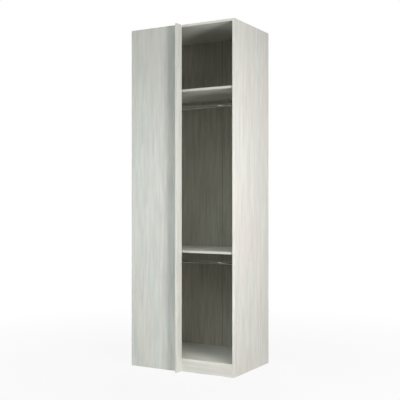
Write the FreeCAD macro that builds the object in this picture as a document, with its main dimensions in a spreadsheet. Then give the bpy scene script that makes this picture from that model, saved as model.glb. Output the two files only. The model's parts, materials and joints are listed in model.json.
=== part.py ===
import FreeCAD, Part
import math
import os
import re
import Sketcher
from FreeCAD import Placement, Rotation, Vector

# Corner wardrobe. A blind panel closes the left half of the front, and the right half is open.
# Millimetres, +Z up, the front faces -Y. The origin is the bottom centre of the whole piece.

# Driving sizes: the cell's name, its value and what it measures
DRIVING_SIZES = (
    ("carcass_width", 820, "over both side panels"),
    ("overall_height", 2400, "side panels, blind panel and post"),
    ("carcass_depth", 545, "side panels with their front bands"),
    ("board", 16, "thickness of the carcass boards"),
    ("front_board", 16, "thickness of the blind panel and the post"),
    ("band", 1, "thickness of an edge band"),
    ("band_bevel", 0.4, "bevel on an edge band's two long corners"),
    ("opening_width", 394, "clear opening between the post and the right side"),
    ("post_depth", 63, "how far the post stands in front of the carcass"),
    ("plinth_height", 72, "height of both plinths"),
    ("rear_plinth_inset", 40, "rear edges of the sides to the rear plinth"),
    ("upper_shelf_top", 1953, "height of the upper shelf's top face"),
    ("middle_shelf_top", 837, "height of the middle shelf's top face"),
    ("shelf_setback", 8, "front edges of the carcass to the shelf bands"),
    ("shelf_side_play", 0.3, "gap at each end of the loose upper shelf"),
    ("shelf_rear_play", 0.5, "gap between a shelf and the back sheets"),
    ("back_thickness", 3, "thickness of the back sheets"),
    ("back_inset", 12, "rear edges of the sides to the back sheets"),
    ("groove_depth", 7, "depth of the groove for the back sheets"),
    ("groove_play", 0.3, "gap around a back sheet in its groove"),
    ("seam_from_left", 450, "left side's outer face to the back seam"),
    ("seam_gap", 1.5, "gap between the two back sheets"),
    ("strip_width", 50, "width of the joint strip behind the seam"),
    ("strip_thickness", 3, "thickness of the joint strip"),
    ("rail_diameter", 25, "outside of a hanging rail"),
    ("rail_wall", 1.5, "wall of a hanging rail"),
    ("rail_end_play", 0.3, "gap between a rail's end and its socket"),
    ("upper_rail_height", 1861, "height of the upper rail's axis"),
    ("lower_rail_height", 739, "height of the lower rail's axis"),
    ("socket_play", 0.1, "gap round a rail in its socket"),
    ("socket_wall", 2.5, "wall of a socket's ring"),
    ("socket_length", 14, "socket from the side panel to its mouth"),
    ("socket_flange", 3, "thickness of a socket's flange"),
    ("socket_flange_diameter", 54, "outside of a socket's flange"),
    ("socket_screw_spacing", 40, "between a socket's two screws"),
    ("screw_diameter", 3.5, "shank of a screw"),
    ("screw_length", 13, "screw under its head"),
    ("screw_head_diameter", 7, "head of a screw"),
    ("screw_head_height", 2, "height of a screw's head"),
    ("pilot_play", 0.1, "how much wider a pilot hole is than its screw"),
    ("clearance_play", 0.8, "how much wider a through hole is than its screw"),
    ("bore_end_play", 0.5, "gap beyond the end of what a blind hole holds"),
    ("connector_inset", 50, "front or rear edge to the nearest cam bolt"),
    ("dowel_spacing", 32, "from a cam bolt to the dowel beside it"),
    ("cam_diameter", 15, "outside of a cam"),
    ("cam_height", 12.5, "height of a cam"),
    ("cam_play", 0.2, "how much wider a cam's hole is than the cam"),
    ("cam_from_end", 34, "end of the board to a cam's centre"),
    ("cam_mouth", 8, "width and height of the cavity in a cam"),
    ("cam_slot_length", 9, "length of the driver slot in a cam"),
    ("cam_slot_width", 1.8, "width of the driver slot in a cam"),
    ("cam_slot_depth", 2.2, "depth of the driver slot in a cam"),
    ("cam_cap_diameter", 18, "outside of a cam's cover cap"),
    ("cam_cap_thickness", 1.2, "thickness of a cam's cover cap"),
    ("bolt_head_diameter", 6.6, "head of a cam bolt"),
    ("bolt_head_length", 3, "length of a cam bolt's head"),
    ("bolt_neck_diameter", 4, "neck that the cam grips"),
    ("bolt_neck_length", 4, "length of the neck"),
    ("bolt_rod_diameter", 7, "plain rod of a cam bolt"),
    ("bolt_thread_diameter", 5, "thread of a cam bolt"),
    ("bolt_thread_length", 11, "length of a cam bolt's thread"),
    ("end_bore", 8, "bores in the ends of the boards"),
    ("dowel_diameter", 7.8, "outside of a dowel"),
    ("dowel_in_face", 11, "dowel in the board whose face it enters"),
    ("dowel_in_end", 22, "dowel in the board whose end it enters"),
    ("plinth_dowel_inset", 18, "edge of a plinth to its dowels"),
    ("pin_diameter", 5, "peg of a shelf pin"),
    ("pin_depth", 9, "peg of a shelf pin in the side"),
    ("pin_play", 0.1, "how much wider a pin's hole is than its peg"),
    ("pin_head_diameter", 9, "head of a shelf pin"),
    ("pin_flat", 3, "axis of a shelf pin to the flat under the shelf"),
    ("pin_reach", 9, "head of a shelf pin out from the side"),
    ("pin_inset", 60, "shelf's front or rear edge to its pins"),
    ("angle_leg", 30, "leg of an angle bracket"),
    ("angle_thickness", 2, "sheet of an angle bracket"),
    ("angle_bend", 1, "bevel on the outer corner of an angle bracket"),
    ("angle_hole", 19, "corner to the hole in an angle's leg"),
    ("angle_width", 20, "width of a blind panel angle"),
    ("wall_angle_width", 44, "width of a wall angle"),
    ("wall_angle_drop", 60, "top panel's underside to a wall angle's middle"),
    ("wall_screw_spread", 24, "between a wall angle's two side screws"),
    ("wall_hole_diameter", 6, "hole for the screw that goes into the wall"),
    ("back_hole_diameter", 10, "hole in the back sheet behind a wall angle"),
    ("back_screw_inset", 96, "side or seam to a screw of the back sheets"),
    ("foot_offset", 30, "side panel to a foot's axis"),
    ("foot_inset", 120, "front or rear edge to a foot's axis"),
    ("pad_diameter", 40, "foot pad on the floor"),
    ("pad_height", 8, "height of a foot pad"),
    ("pad_bevel", 5, "bevel round the top of a foot pad"),
    ("pad_socket_depth", 5, "spindle in its pad"),
    ("pad_socket_play", 0.1, "how much wider a pad's socket is than its spindle"),
    ("spindle_diameter", 10, "thread of a levelling spindle"),
    ("spindle_top", 58, "height of a spindle's end, screwed in"),
    ("nut_flats", 17, "hexagon at the foot of a spindle"),
    ("nut_height", 5, "height of that hexagon"),
    ("key_flats", 5, "hexagon socket in a spindle's end"),
    ("key_depth", 5, "depth of that socket"),
    ("nut_gap", 1, "hexagon to its bracket, screwed in"),
    ("thread_play", 0.1, "how much wider a bracket's hole is than its spindle"),
    ("boss_diameter", 20, "boss round a spindle"),
    ("boss_height", 18, "height of the boss and of its arm"),
    ("bracket_plate", 4, "plate of a foot bracket on the side panel"),
    ("bracket_width", 46, "width of that plate"),
    ("bracket_top", 62, "height of that plate's upper edge"),
    ("bracket_rib", 3, "thickness of a bracket's two ribs"),
    ("bracket_rib_reach", 16, "how far a rib reaches from its plate"),
    ("bracket_screw_height", 51, "height of a bracket's screws"),
    ("bracket_screw_spread", 30, "between a bracket's screws"),
    ("access_hole", 12, "hole in the bottom panel over a foot"),
    ("access_play", 0.2, "how much narrower a cap's plug is than its hole"),
    ("access_cap_diameter", 18, "rim of a cap over an access hole"),
    ("access_cap_rim", 1.2, "thickness of that rim"),
    ("access_plug", 8, "length of that cap's plug"),
    ("overrun", 2, "how far a through cut runs past its board"),
)

# Heights of connectors on the blind panel, as shares of the overall height
POST_CAM_SHARES = (0.06, 0.3, 0.55, 0.94)
SIDE_ANGLE_SHARES = (0.12, 0.5, 0.88)

# Hidden hardware and its bores are drawn with flats instead of round, and measured over them
SCREW_SIDES = 6
DOWEL_SIDES = 8
TURNED_SIDES = 24

doc = FreeCAD.newDocument("corner_wardrobe")
sheet = doc.addObject("Spreadsheet::Sheet", "Sizes")
for row, (alias, size, meaning) in enumerate(DRIVING_SIZES, start=1):
    sheet.set(f"A{row}", meaning)
    sheet.set(f"B{row}", str(size))
    sheet.setAlias(f"B{row}", alias)
doc.recompute()
ALIASES = {alias for alias, size, meaning in DRIVING_SIZES}
NEAR = Part.Precision.confusion()


def bound(text):
    """The expression with every size in it pointed at its cell."""
    return re.sub(r"[a-z]\w*", lambda word: f"Sizes.{word[0]}" if word[0] in ALIASES else word[0], text)


def value(text):
    """The number that an expression comes to."""
    return float(sheet.evalExpression(bound(text)))


# Planes and heights that several pieces share
FRONT = "((post_depth - carcass_depth) / 2)"
REAR = "((post_depth + carcass_depth) / 2)"
LEFT = "(-carcass_width / 2)"
RIGHT = "(carcass_width / 2)"
INNER_LEFT = f"({LEFT} + board)"
INNER_RIGHT = f"({RIGHT} - board)"
INNER_WIDTH = "(carcass_width - 2 * board)"
POST_LEFT = f"({INNER_RIGHT} - opening_width - front_board)"
BACK_FACE = f"({REAR} - back_inset - back_thickness)"
FLOOR_TOP = "(plinth_height + board)"
TOP_UNDERSIDE = "(overall_height - board)"
SHELF_FRONT = f"({FRONT} + shelf_setback)"
SHELF_REAR = f"({BACK_FACE} - shelf_rear_play)"
SEAM = f"({LEFT} + seam_from_left)"
RAIL_Y = f"({FRONT} + carcass_depth / 2)"
FRONT_PANEL_Y = f"({FRONT} - front_board / 2)"
BLIND_MIDDLE = f"(({LEFT} + {POST_LEFT}) / 2)"
WALL_ANGLE_Z = f"({TOP_UNDERSIDE} - wall_angle_drop)"

# A board's faces: the sketch plane, the two axes in it and whether a cut runs along its normal
FACES = {
    "left": ("YZ_Plane", (1, 2), True),
    "right": ("YZ_Plane", (1, 2), False),
    "front": ("XZ_Plane", (0, 2), False),
    "back": ("XZ_Plane", (0, 2), True),
    "bottom": ("XY_Plane", (0, 1), True),
    "top": ("XY_Plane", (0, 1), False),
}


def new_body(label, corner=("0", "0", "0")):
    body = doc.addObject("PartDesign::Body", label)
    body.Label = label
    for axis, place in zip("xyz", corner):
        body.setExpression(f"Placement.Base.{axis}", bound(place))
    return body


def new_sketch(body, name, role, offset="0"):
    """A sketch on one of the body's own planes, moved along that plane's normal."""
    sketch = body.newObject("Sketcher::SketchObject", name)
    plane = next(feature for feature in body.Origin.OriginFeatures if feature.Role == role)
    sketch.AttachmentSupport = [(plane, "")]
    sketch.MapMode = "FlatFace"
    sketch.setExpression("AttachmentOffset.Base.z", bound(offset))
    return sketch


def add_dimensions(sketch, dimensions):
    """Dimensions in the sketch, each a kind, what it measures and the expression that drives it."""
    first = sketch.ConstraintCount
    kinds = [Sketcher.Constraint(kind, *measured, value(size)) for kind, measured, size in dimensions]
    sketch.addConstraint(kinds)
    for index, (kind, measured, size) in enumerate(dimensions, start=first):
        sketch.setExpression(f"Constraints[{index}]", bound(size))


def point_dimensions(element, point, place):
    measured = (-1, 1, element, point)
    return [("DistanceX", measured, place[0]), ("DistanceY", measured, place[1])]


def add_outline(sketch, corners):
    """A closed outline of straight edges, every corner dimensioned from the origin."""
    points = [Vector(value(across), value(up), 0) for across, up in corners]
    edges = list(range(sketch.GeometryCount, sketch.GeometryCount + len(points)))
    sketch.addGeometry([Part.LineSegment(*ends) for ends in zip(points, points[1:] + points[:1])], False)
    closed = zip(edges, edges[1:] + edges[:1])
    joined = [Sketcher.Constraint("Coincident", edge, 2, following, 1) for edge, following in closed]
    sketch.addConstraint(joined)
    dimensions = []
    for edge, corner in zip(edges, corners):
        dimensions += point_dimensions(edge, 1, corner)
    add_dimensions(sketch, dimensions)


def add_rectangle(sketch, low, size):
    right = f"({low[0]}) + ({size[0]})"
    top = f"({low[1]}) + ({size[1]})"
    add_outline(sketch, ((low[0], low[1]), (right, low[1]), (right, top), (low[0], top)))


def regular(flats, sides, centre=("0", "0")):
    """Corners of a regular polygon of that size over its flats, with a flat at its right."""
    reach = 1 / (2 * math.cos(math.pi / sides))
    corners = []
    for step in range(sides):
        angle = (2 * step + 1) * math.pi / sides
        across = f"({centre[0]}) + ({flats}) * ({reach * math.cos(angle):.9f})"
        up = f"({centre[1]}) + ({flats}) * ({reach * math.sin(angle):.9f})"
        corners.append((across, up))
    return corners


def add_circle(sketch, centre, diameter):
    middle = Vector(value(centre[0]), value(centre[1]), 0)
    element = sketch.addGeometry(Part.Circle(middle, Vector(0, 0, 1), value(diameter) / 2), False)
    add_dimensions(sketch, point_dimensions(element, 3, centre) + [("Diameter", (element,), diameter)])


def add_pad(body, sketch, length, reverse=False):
    pad = body.newObject("PartDesign::Pad", f"{sketch.Name}_pad")
    pad.Profile = sketch
    pad.Reversed = reverse
    pad.setExpression("Length", bound(length))
    return pad


def add_pocket(body, sketch, depth, reverse=False):
    pocket = body.newObject("PartDesign::Pocket", f"{sketch.Name}_cut")
    pocket.Profile = sketch
    pocket.Reversed = reverse
    pocket.setExpression("Length", bound(depth))
    return pocket


class Board:
    """A board in the wardrobe, with bores and grooves that are placed in the wardrobe's frame."""

    def __init__(self, label, corner, size):
        self.label = label
        self.corner = corner
        self.size = size
        self.body = new_body(label, corner)
        outline = new_sketch(self.body, f"{label}_outline", "XY_Plane")
        add_rectangle(outline, ("0", "0"), size[:2])
        self.blank = add_pad(self.body, outline, size[2])

    def face_sketch(self, face, use):
        role = FACES[face][0]
        offsets = {"right": self.size[0], "back": f"-({self.size[1]})", "top": self.size[2]}
        return new_sketch(self.body, f"{self.label}_{use}_{face}", role, offsets.get(face, "0"))

    def on_face(self, face, place):
        """A place in the wardrobe's frame, in the board's own sketch axes."""
        axes = FACES[face][1]
        return tuple(f"({across}) - ({self.corner[axis]})" for across, axis in zip(place, axes))

    def bore(self, face, use, places, flats, depth, sides=SCREW_SIDES):
        """Like bores into one face."""
        sketch = self.face_sketch(face, use)
        for place in places:
            add_outline(sketch, regular(flats, sides, self.on_face(face, place)))
        add_pocket(self.body, sketch, depth, FACES[face][2])

    def groove(self, face, low, size, depth):
        sketch = self.face_sketch(face, "groove")
        add_rectangle(sketch, self.on_face(face, low), size)
        add_pocket(self.body, sketch, depth, FACES[face][2])


def bevel(body, base, wanted, size):
    """A bevel on those edges of a feature that the test wants."""
    edges = [f"Edge{number}" for number, edge in enumerate(base.Shape.Edges, start=1) if wanted(edge)]
    chamfer = body.newObject("PartDesign::Chamfer", f"{body.Label}_bevel")
    chamfer.Base = (base, edges)
    chamfer.setExpression("Size", bound(size))


def edge_band(label, corner, size, exposed_axis=1):
    """A band with its two long outer corners bevelled. The exposed face is the low one on that axis."""
    band = Board(label, corner, size)
    doc.recompute()
    longest = max(edge.Length for edge in band.blank.Shape.Edges)

    def is_outer(edge):
        exposed = all(abs(vertex.Point[exposed_axis]) < NEAR for vertex in edge.Vertexes)
        return exposed and longest - edge.Length < NEAR

    bevel(band.body, band.blank, is_outer, "band_bevel")


def stepped(label, steps, corner=("0", "0", "0")):
    """A piece of prisms in a row on the body's Z axis: the flats, sides, low end and high end of each."""
    body = new_body(label, corner)
    for number, (flats, sides, low, high) in enumerate(steps, start=1):
        sketch = new_sketch(body, f"{label}_step_{number}", "XY_Plane", low)
        add_outline(sketch, regular(flats, sides))
        add_pad(body, sketch, f"{high} - ({low})")
    return body


def at(across, along, up, turn=Rotation()):
    return Placement(Vector(value(across), value(along), value(up)), turn)


def copies(label, pattern, places):
    """One node of like pieces, each a solid of its own."""
    solids = []
    for place in places:
        piece = pattern.Shape.copy()
        piece.Placement = place
        solids.append(piece)
    group = doc.addObject("Part::Feature", label)
    group.Label = label
    group.Shape = Part.makeCompound(solids)
    return group


# Turns of a piece from its own Z axis, which keep its flats in line with those of its bore
X_AXIS = Vector(1, 0, 0)
Y_AXIS = Vector(0, 1, 0)
Z_AXIS = Vector(0, 0, 1)
TO_RIGHT = Rotation(Y_AXIS, Z_AXIS, X_AXIS)
TO_LEFT = Rotation(Y_AXIS, -Z_AXIS, -X_AXIS)
TO_BACK = Rotation(X_AXIS, -Z_AXIS, Y_AXIS)
DOWN = Rotation(X_AXIS, 180)
TURNED_ROUND = Rotation(Z_AXIS, 180)

# Side panels
side_size = ("board", "carcass_depth - band", "overall_height")
left_side = Board("left_side_panel", (LEFT, f"{FRONT} + band", "0"), side_size)
right_side = Board("right_side_panel", (INNER_RIGHT, f"{FRONT} + band", "0"), side_size)
INNER_FACES = ((left_side, "right"), (right_side, "left"))

# Top panel, bottom panel and plinths, all between the sides
level_size = (INNER_WIDTH, "carcass_depth - band", "board")
top_panel = Board("top_panel", (INNER_LEFT, f"{FRONT} + band", TOP_UNDERSIDE), level_size)
bottom_panel = Board("bottom_panel", (INNER_LEFT, f"{FRONT} + band", "plinth_height"), level_size)
plinth_size = (INNER_WIDTH, "board", "plinth_height")
REAR_PLINTH_Y = f"({REAR} - rear_plinth_inset - board)"
front_plinth = Board("front_plinth", (INNER_LEFT, FRONT, "0"), plinth_size)
rear_plinth = Board("rear_plinth", (INNER_LEFT, REAR_PLINTH_Y, "0"), plinth_size)

# Shelves: the middle one is fixed between the sides, the upper one lies loose on its pins
shelf_depth = f"{SHELF_REAR} - {SHELF_FRONT} - band"
middle_shelf = Board(
    "middle_shelf",
    (INNER_LEFT, f"{SHELF_FRONT} + band", "middle_shelf_top - board"),
    (INNER_WIDTH, shelf_depth, "board"),
)
UPPER_SHELF_LEFT = f"({INNER_LEFT} + shelf_side_play)"
UPPER_SHELF_WIDTH = f"({INNER_WIDTH} - 2 * shelf_side_play)"
upper_shelf = Board(
    "upper_shelf",
    (UPPER_SHELF_LEFT, f"{SHELF_FRONT} + band", "upper_shelf_top - board"),
    (UPPER_SHELF_WIDTH, shelf_depth, "board"),
)

# Back: two sheets in a groove round the carcass, and a strip behind their seam
BACK_LOW = f"({FLOOR_TOP} - groove_depth + groove_play)"
BACK_HEIGHT = f"({TOP_UNDERSIDE} + groove_depth - groove_play - {BACK_LOW})"
BACK_LEFT = f"({INNER_LEFT} - groove_depth + groove_play)"
BACK_RIGHT = f"({INNER_RIGHT} + groove_depth - groove_play)"
left_back = Board(
    "back_sheet_left",
    (BACK_LEFT, BACK_FACE, BACK_LOW),
    (f"{SEAM} - seam_gap / 2 - {BACK_LEFT}", "back_thickness", BACK_HEIGHT),
)
right_back = Board(
    "back_sheet_right",
    (f"{SEAM} + seam_gap / 2", BACK_FACE, BACK_LOW),
    (f"{BACK_RIGHT} - {SEAM} - seam_gap / 2", "back_thickness", BACK_HEIGHT),
)
Board(
    "back_joint_strip",
    (f"{SEAM} - strip_width / 2", f"{REAR} - back_inset", f"{FLOOR_TOP} + groove_play"),
    ("strip_width", "strip_thickness", f"{TOP_UNDERSIDE} - {FLOOR_TOP} - 2 * groove_play"),
)

# Blind panel over the left half of the front, and the post at its right edge
blind_panel = Board(
    "blind_front_panel",
    (f"{LEFT} + band", f"{FRONT} - front_board", "0"),
    (f"{POST_LEFT} - {LEFT} - band", "front_board", "overall_height"),
)
post = Board(
    "corner_post",
    (POST_LEFT, f"{FRONT} - post_depth + band", "0"),
    ("front_board", "post_depth - band", "overall_height"),
)

# Edge bands
edge_band("left_side_edge_band", (LEFT, FRONT, "0"), ("board", "band", "overall_height"))
edge_band("right_side_edge_band", (INNER_RIGHT, FRONT, "0"), ("board", "band", "overall_height"))
edge_band("top_edge_band", (INNER_LEFT, FRONT, TOP_UNDERSIDE), (INNER_WIDTH, "band", "board"))
edge_band("bottom_edge_band", (INNER_LEFT, FRONT, "plinth_height"), (INNER_WIDTH, "band", "board"))
edge_band(
    "middle_shelf_edge_band",
    (INNER_LEFT, SHELF_FRONT, "middle_shelf_top - board"),
    (INNER_WIDTH, "band", "board"),
)
edge_band(
    "upper_shelf_edge_band",
    (UPPER_SHELF_LEFT, SHELF_FRONT, "upper_shelf_top - board"),
    (UPPER_SHELF_WIDTH, "band", "board"),
)
edge_band(
    "post_edge_band",
    (POST_LEFT, f"{FRONT} - post_depth", "0"),
    ("front_board", "band", "overall_height"),
)
edge_band(
    "blind_panel_edge_band",
    (LEFT, f"{FRONT} - front_board", "0"),
    ("band", "front_board", "overall_height"),
    exposed_axis=0,
)

# Grooves for the back sheets, sawn right through the four boards round them
GROOVE_Y = f"({BACK_FACE} - groove_play)"
groove_width = "back_thickness + 2 * groove_play"
groove_cut = "groove_depth"
for side, inner in INNER_FACES:
    side.groove(inner, (GROOVE_Y, "-overrun"), (groove_width, "overall_height + 2 * overrun"), groove_cut)
for level, inner in ((top_panel, "bottom"), (bottom_panel, "top")):
    low = (f"{INNER_LEFT} - overrun", GROOVE_Y)
    level.groove(inner, low, (f"{INNER_WIDTH} + 2 * overrun", groove_width), groove_cut)

# Places of the cams and dowels along the depth
CAM_Y = (f"({FRONT} + connector_inset)", f"({REAR} - connector_inset)")
DOWEL_Y = (f"({CAM_Y[0]} + dowel_spacing)", f"({CAM_Y[1]} - dowel_spacing)")
CAM_X = (f"({INNER_LEFT} + cam_from_end)", f"({INNER_RIGHT} - cam_from_end)")
cam_hole = "cam_diameter + cam_play"
cam_hole_depth = "cam_height + bore_end_play"
thread_hole = "bolt_thread_diameter + pilot_play"
thread_hole_depth = "bolt_thread_length + bore_end_play"
dowel_face_depth = "dowel_in_face + bore_end_play"
dowel_end_depth = "dowel_in_end + bore_end_play"

# Fixed level boards: the board, the height of its middle and the face that its cams go into
FIXED_LEVELS = (
    (top_panel, f"({TOP_UNDERSIDE} + board / 2)", "top"),
    (bottom_panel, "(plinth_height + board / 2)", "bottom"),
    (middle_shelf, "(middle_shelf_top - board / 2)", "bottom"),
)
side_bores = []
side_dowel_places = []
for level, middle, cam_face in FIXED_LEVELS:
    places = [(along, middle) for along in CAM_Y]
    side_bores.append((f"{level.label}_bolts", places, thread_hole, thread_hole_depth))
    cam_places = [(across, along) for across in CAM_X for along in CAM_Y]
    level.bore(cam_face, "cams", cam_places, cam_hole, cam_hole_depth, DOWEL_SIDES)
    for end in ("left", "right"):
        level.bore(end, "bolts", places, "end_bore", "cam_from_end")
for level, middle, cam_face in FIXED_LEVELS[:2]:
    places = [(along, middle) for along in DOWEL_Y]
    side_bores.append((f"{level.label}_dowels", places, "end_bore", dowel_face_depth, DOWEL_SIDES))
    side_dowel_places += places
    for end in ("left", "right"):
        level.bore(end, "dowels", places, "end_bore", dowel_end_depth, DOWEL_SIDES)

# Plinth dowels
plinth_dowel_z = ("plinth_dowel_inset", "(plinth_height - plinth_dowel_inset)")
for plinth in (front_plinth, rear_plinth):
    middle = f"({plinth.corner[1]} + board / 2)"
    places = [(middle, up) for up in plinth_dowel_z]
    side_bores.append((f"{plinth.label}_dowels", places, "end_bore", dowel_face_depth, DOWEL_SIDES))
    side_dowel_places += places
    for end in ("left", "right"):
        plinth.bore(end, "dowels", places, "end_bore", dowel_end_depth, DOWEL_SIDES)

# Screw places on the inner faces of the sides, each with the thickness that the screw goes through first
FOOT_Y = (f"({FRONT} + foot_inset)", f"({REAR} - foot_inset)")
FOOT_X = (f"({INNER_LEFT} + foot_offset)", f"({INNER_RIGHT} - foot_offset)")
RAIL_HEIGHTS = ("upper_rail_height", "lower_rail_height")
socket_screw_places = []
for height in RAIL_HEIGHTS:
    for sign in ("+", "-"):
        socket_screw_places.append((RAIL_Y, f"({height} {sign} socket_screw_spacing / 2)"))
bracket_screw_places = []
for along in FOOT_Y:
    for sign in ("+", "-"):
        bracket_screw_places.append((f"({along} {sign} bracket_screw_spread / 2)", "bracket_screw_height"))
wall_screw_places = []
for sign in ("+", "-"):
    height = f"({WALL_ANGLE_Z} {sign} wall_screw_spread / 2)"
    wall_screw_places.append((f"({BACK_FACE} - angle_hole)", height))
ANGLE_HEIGHTS = [f"({share} * overall_height)" for share in SIDE_ANGLE_SHARES]
side_angle_places = [(f"({FRONT} + angle_hole)", height) for height in ANGLE_HEIGHTS]

pilot = "screw_diameter + pilot_play"


def pilot_depth(carrier):
    """Depth of a pilot hole under a piece of that thickness."""
    return f"screw_length - ({carrier}) + bore_end_play"


# Bores in the inner faces of the sides
SHELF_PIN_Z = "(upper_shelf_top - board - pin_flat)"
SHELF_PIN_Y = (f"({SHELF_FRONT} + pin_inset)", f"({SHELF_REAR} - pin_inset)")
shelf_pin_places = [(along, SHELF_PIN_Z) for along in SHELF_PIN_Y]
side_bores.append(("pins", shelf_pin_places, "pin_diameter + pin_play", "pin_depth + bore_end_play"))
side_bores.append(("sockets", socket_screw_places, pilot, pilot_depth("socket_flange")))
side_bores.append(("feet", bracket_screw_places, pilot, pilot_depth("bracket_plate")))
side_bores.append(("wall", wall_screw_places, pilot, pilot_depth("angle_thickness")))
for side, inner in INNER_FACES:
    for bores in side_bores:
        side.bore(inner, *bores)
left_side.bore("right", "angles", side_angle_places, pilot, pilot_depth("angle_thickness"))

# Bores between the blind panel and the post, and for the angles on the blind panel
POST_CAM_Z = [f"({share} * overall_height)" for share in POST_CAM_SHARES]
POST_DOWEL_Z = [f"({height} + dowel_spacing)" for height in POST_CAM_Z]
post_cam_places = [(FRONT_PANEL_Y, height) for height in POST_CAM_Z]
post_dowel_places = [(FRONT_PANEL_Y, height) for height in POST_DOWEL_Z]
BLIND_CAM_X = f"({POST_LEFT} - cam_from_end)"
cam_places = [(BLIND_CAM_X, height) for height in POST_CAM_Z]
blind_panel.bore("back", "cams", cam_places, cam_hole, cam_hole_depth, DOWEL_SIDES)
blind_panel.bore("right", "bolts", post_cam_places, "end_bore", "cam_from_end")
blind_panel.bore("right", "dowels", post_dowel_places, "end_bore", dowel_end_depth, DOWEL_SIDES)
post.bore("left", "bolts", post_cam_places, thread_hole, thread_hole_depth)
post.bore("left", "dowels", post_dowel_places, "end_bore", dowel_face_depth, DOWEL_SIDES)
blind_angle_places = [(f"({INNER_LEFT} + angle_hole)", height) for height in ANGLE_HEIGHTS]
blind_angle_places.append((BLIND_MIDDLE, f"({TOP_UNDERSIDE} - angle_hole)"))
blind_angle_places.append((BLIND_MIDDLE, f"({FLOOR_TOP} + angle_hole)"))
blind_panel.bore("back", "angles", blind_angle_places, pilot, pilot_depth("angle_thickness"))
level_angle_place = (BLIND_MIDDLE, f"({FRONT} + angle_hole)")
top_panel.bore("bottom", "angle", [level_angle_place], pilot, pilot_depth("angle_thickness"))
bottom_panel.bore("top", "angle", [level_angle_place], pilot, pilot_depth("angle_thickness"))

# Access holes over the feet, wall screw holes in the back sheets, and holes for the screws of the back
foot_places = [(across, along) for across in FOOT_X for along in FOOT_Y]
bottom_panel.bore("top", "access", foot_places, "access_hole", "board + overrun", DOWEL_SIDES)
wall_hole_x = (f"({INNER_LEFT} + angle_hole)", f"({INNER_RIGHT} - angle_hole)")
back_screw_x = (
    (f"({INNER_LEFT} + back_screw_inset)", f"({SEAM} - back_screw_inset)"),
    (f"({SEAM} + back_screw_inset)", f"({INNER_RIGHT} - back_screw_inset)"),
)
SHELF_MIDDLE = "(middle_shelf_top - board / 2)"
through_hole = "screw_diameter + clearance_play"
back_cut = "back_thickness + overrun"
for back, across, screws in zip((left_back, right_back), wall_hole_x, back_screw_x):
    back.bore("back", "wall", [(across, WALL_ANGLE_Z)], "back_hole_diameter", back_cut, DOWEL_SIDES)
    back.bore("back", "screws", [(place, SHELF_MIDDLE) for place in screws], through_hole, back_cut)
    places = [(place, SHELF_MIDDLE) for place in screws]
    middle_shelf.bore("back", f"{back.label}_screws", places, pilot, pilot_depth("back_thickness"))

# Hanging rails, and the pattern of their end sockets
RAIL_SPAN = f"({INNER_WIDTH} - 2 * socket_flange - 2 * rail_end_play)"
for label, height in zip(("upper_hanging_rail", "lower_hanging_rail"), RAIL_HEIGHTS):
    corner = (f"{INNER_LEFT} + socket_flange + rail_end_play", RAIL_Y, height)
    rail = new_body(label, corner)
    ring = new_sketch(rail, f"{label}_section", "YZ_Plane")
    add_circle(ring, ("0", "0"), "rail_diameter")
    add_circle(ring, ("0", "0"), "rail_diameter - 2 * rail_wall")
    add_pad(rail, ring, RAIL_SPAN)

SOCKET_BORE = "(rail_diameter + 2 * socket_play)"
socket_pattern = stepped(
    "rail_socket_pattern",
    (
        ("socket_flange_diameter", TURNED_SIDES, "0", "socket_flange"),
        (f"{SOCKET_BORE} + 2 * socket_wall", TURNED_SIDES, "socket_flange", "socket_length"),
    ),
)
socket_bore = new_sketch(socket_pattern, "rail_socket_bore", "XY_Plane", "socket_length")
add_outline(socket_bore, regular(SOCKET_BORE, TURNED_SIDES))
add_pocket(socket_pattern, socket_bore, "socket_length - socket_flange")
for number, sign in enumerate(("", "-"), start=1):
    socket_hole = new_sketch(socket_pattern, f"rail_socket_hole_{number}", "XY_Plane", "socket_flange")
    add_outline(socket_hole, regular(through_hole, SCREW_SIDES, ("0", f"{sign}socket_screw_spacing / 2")))
    add_pocket(socket_pattern, socket_hole, "socket_flange + overrun")

# Small patterns that are copied into groups. Each one's Z axis is the way that it comes out again.
screw_pattern = stepped(
    "screw_pattern",
    (
        ("screw_diameter", SCREW_SIDES, "-screw_length", "0"),
        ("screw_head_diameter", SCREW_SIDES, "0", "screw_head_height"),
    ),
)
dowel_pattern = stepped(
    "dowel_pattern",
    (("dowel_diameter", DOWEL_SIDES, "-dowel_in_end", "dowel_in_face"),),
)
bolt_head_end = "-(cam_from_end + bolt_head_length)"
rod_start = "bolt_neck_length - cam_from_end"
bolt_pattern = stepped(
    "cam_bolt_pattern",
    (
        ("bolt_head_diameter", SCREW_SIDES, bolt_head_end, "-cam_from_end"),
        ("bolt_neck_diameter", SCREW_SIDES, "-cam_from_end", rod_start),
        ("bolt_rod_diameter", SCREW_SIDES, rod_start, "0"),
        ("bolt_thread_diameter", SCREW_SIDES, "0", "bolt_thread_length"),
    ),
)
cam_cap_pattern = stepped(
    "cam_cap_pattern",
    (("cam_cap_diameter", DOWEL_SIDES, "0", "cam_cap_thickness"),),
)
access_cap_pattern = stepped(
    "access_cap_pattern",
    (
        ("access_hole - access_play", DOWEL_SIDES, "-access_plug", "0"),
        ("access_cap_diameter", DOWEL_SIDES, "0", "access_cap_rim"),
    ),
)


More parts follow.
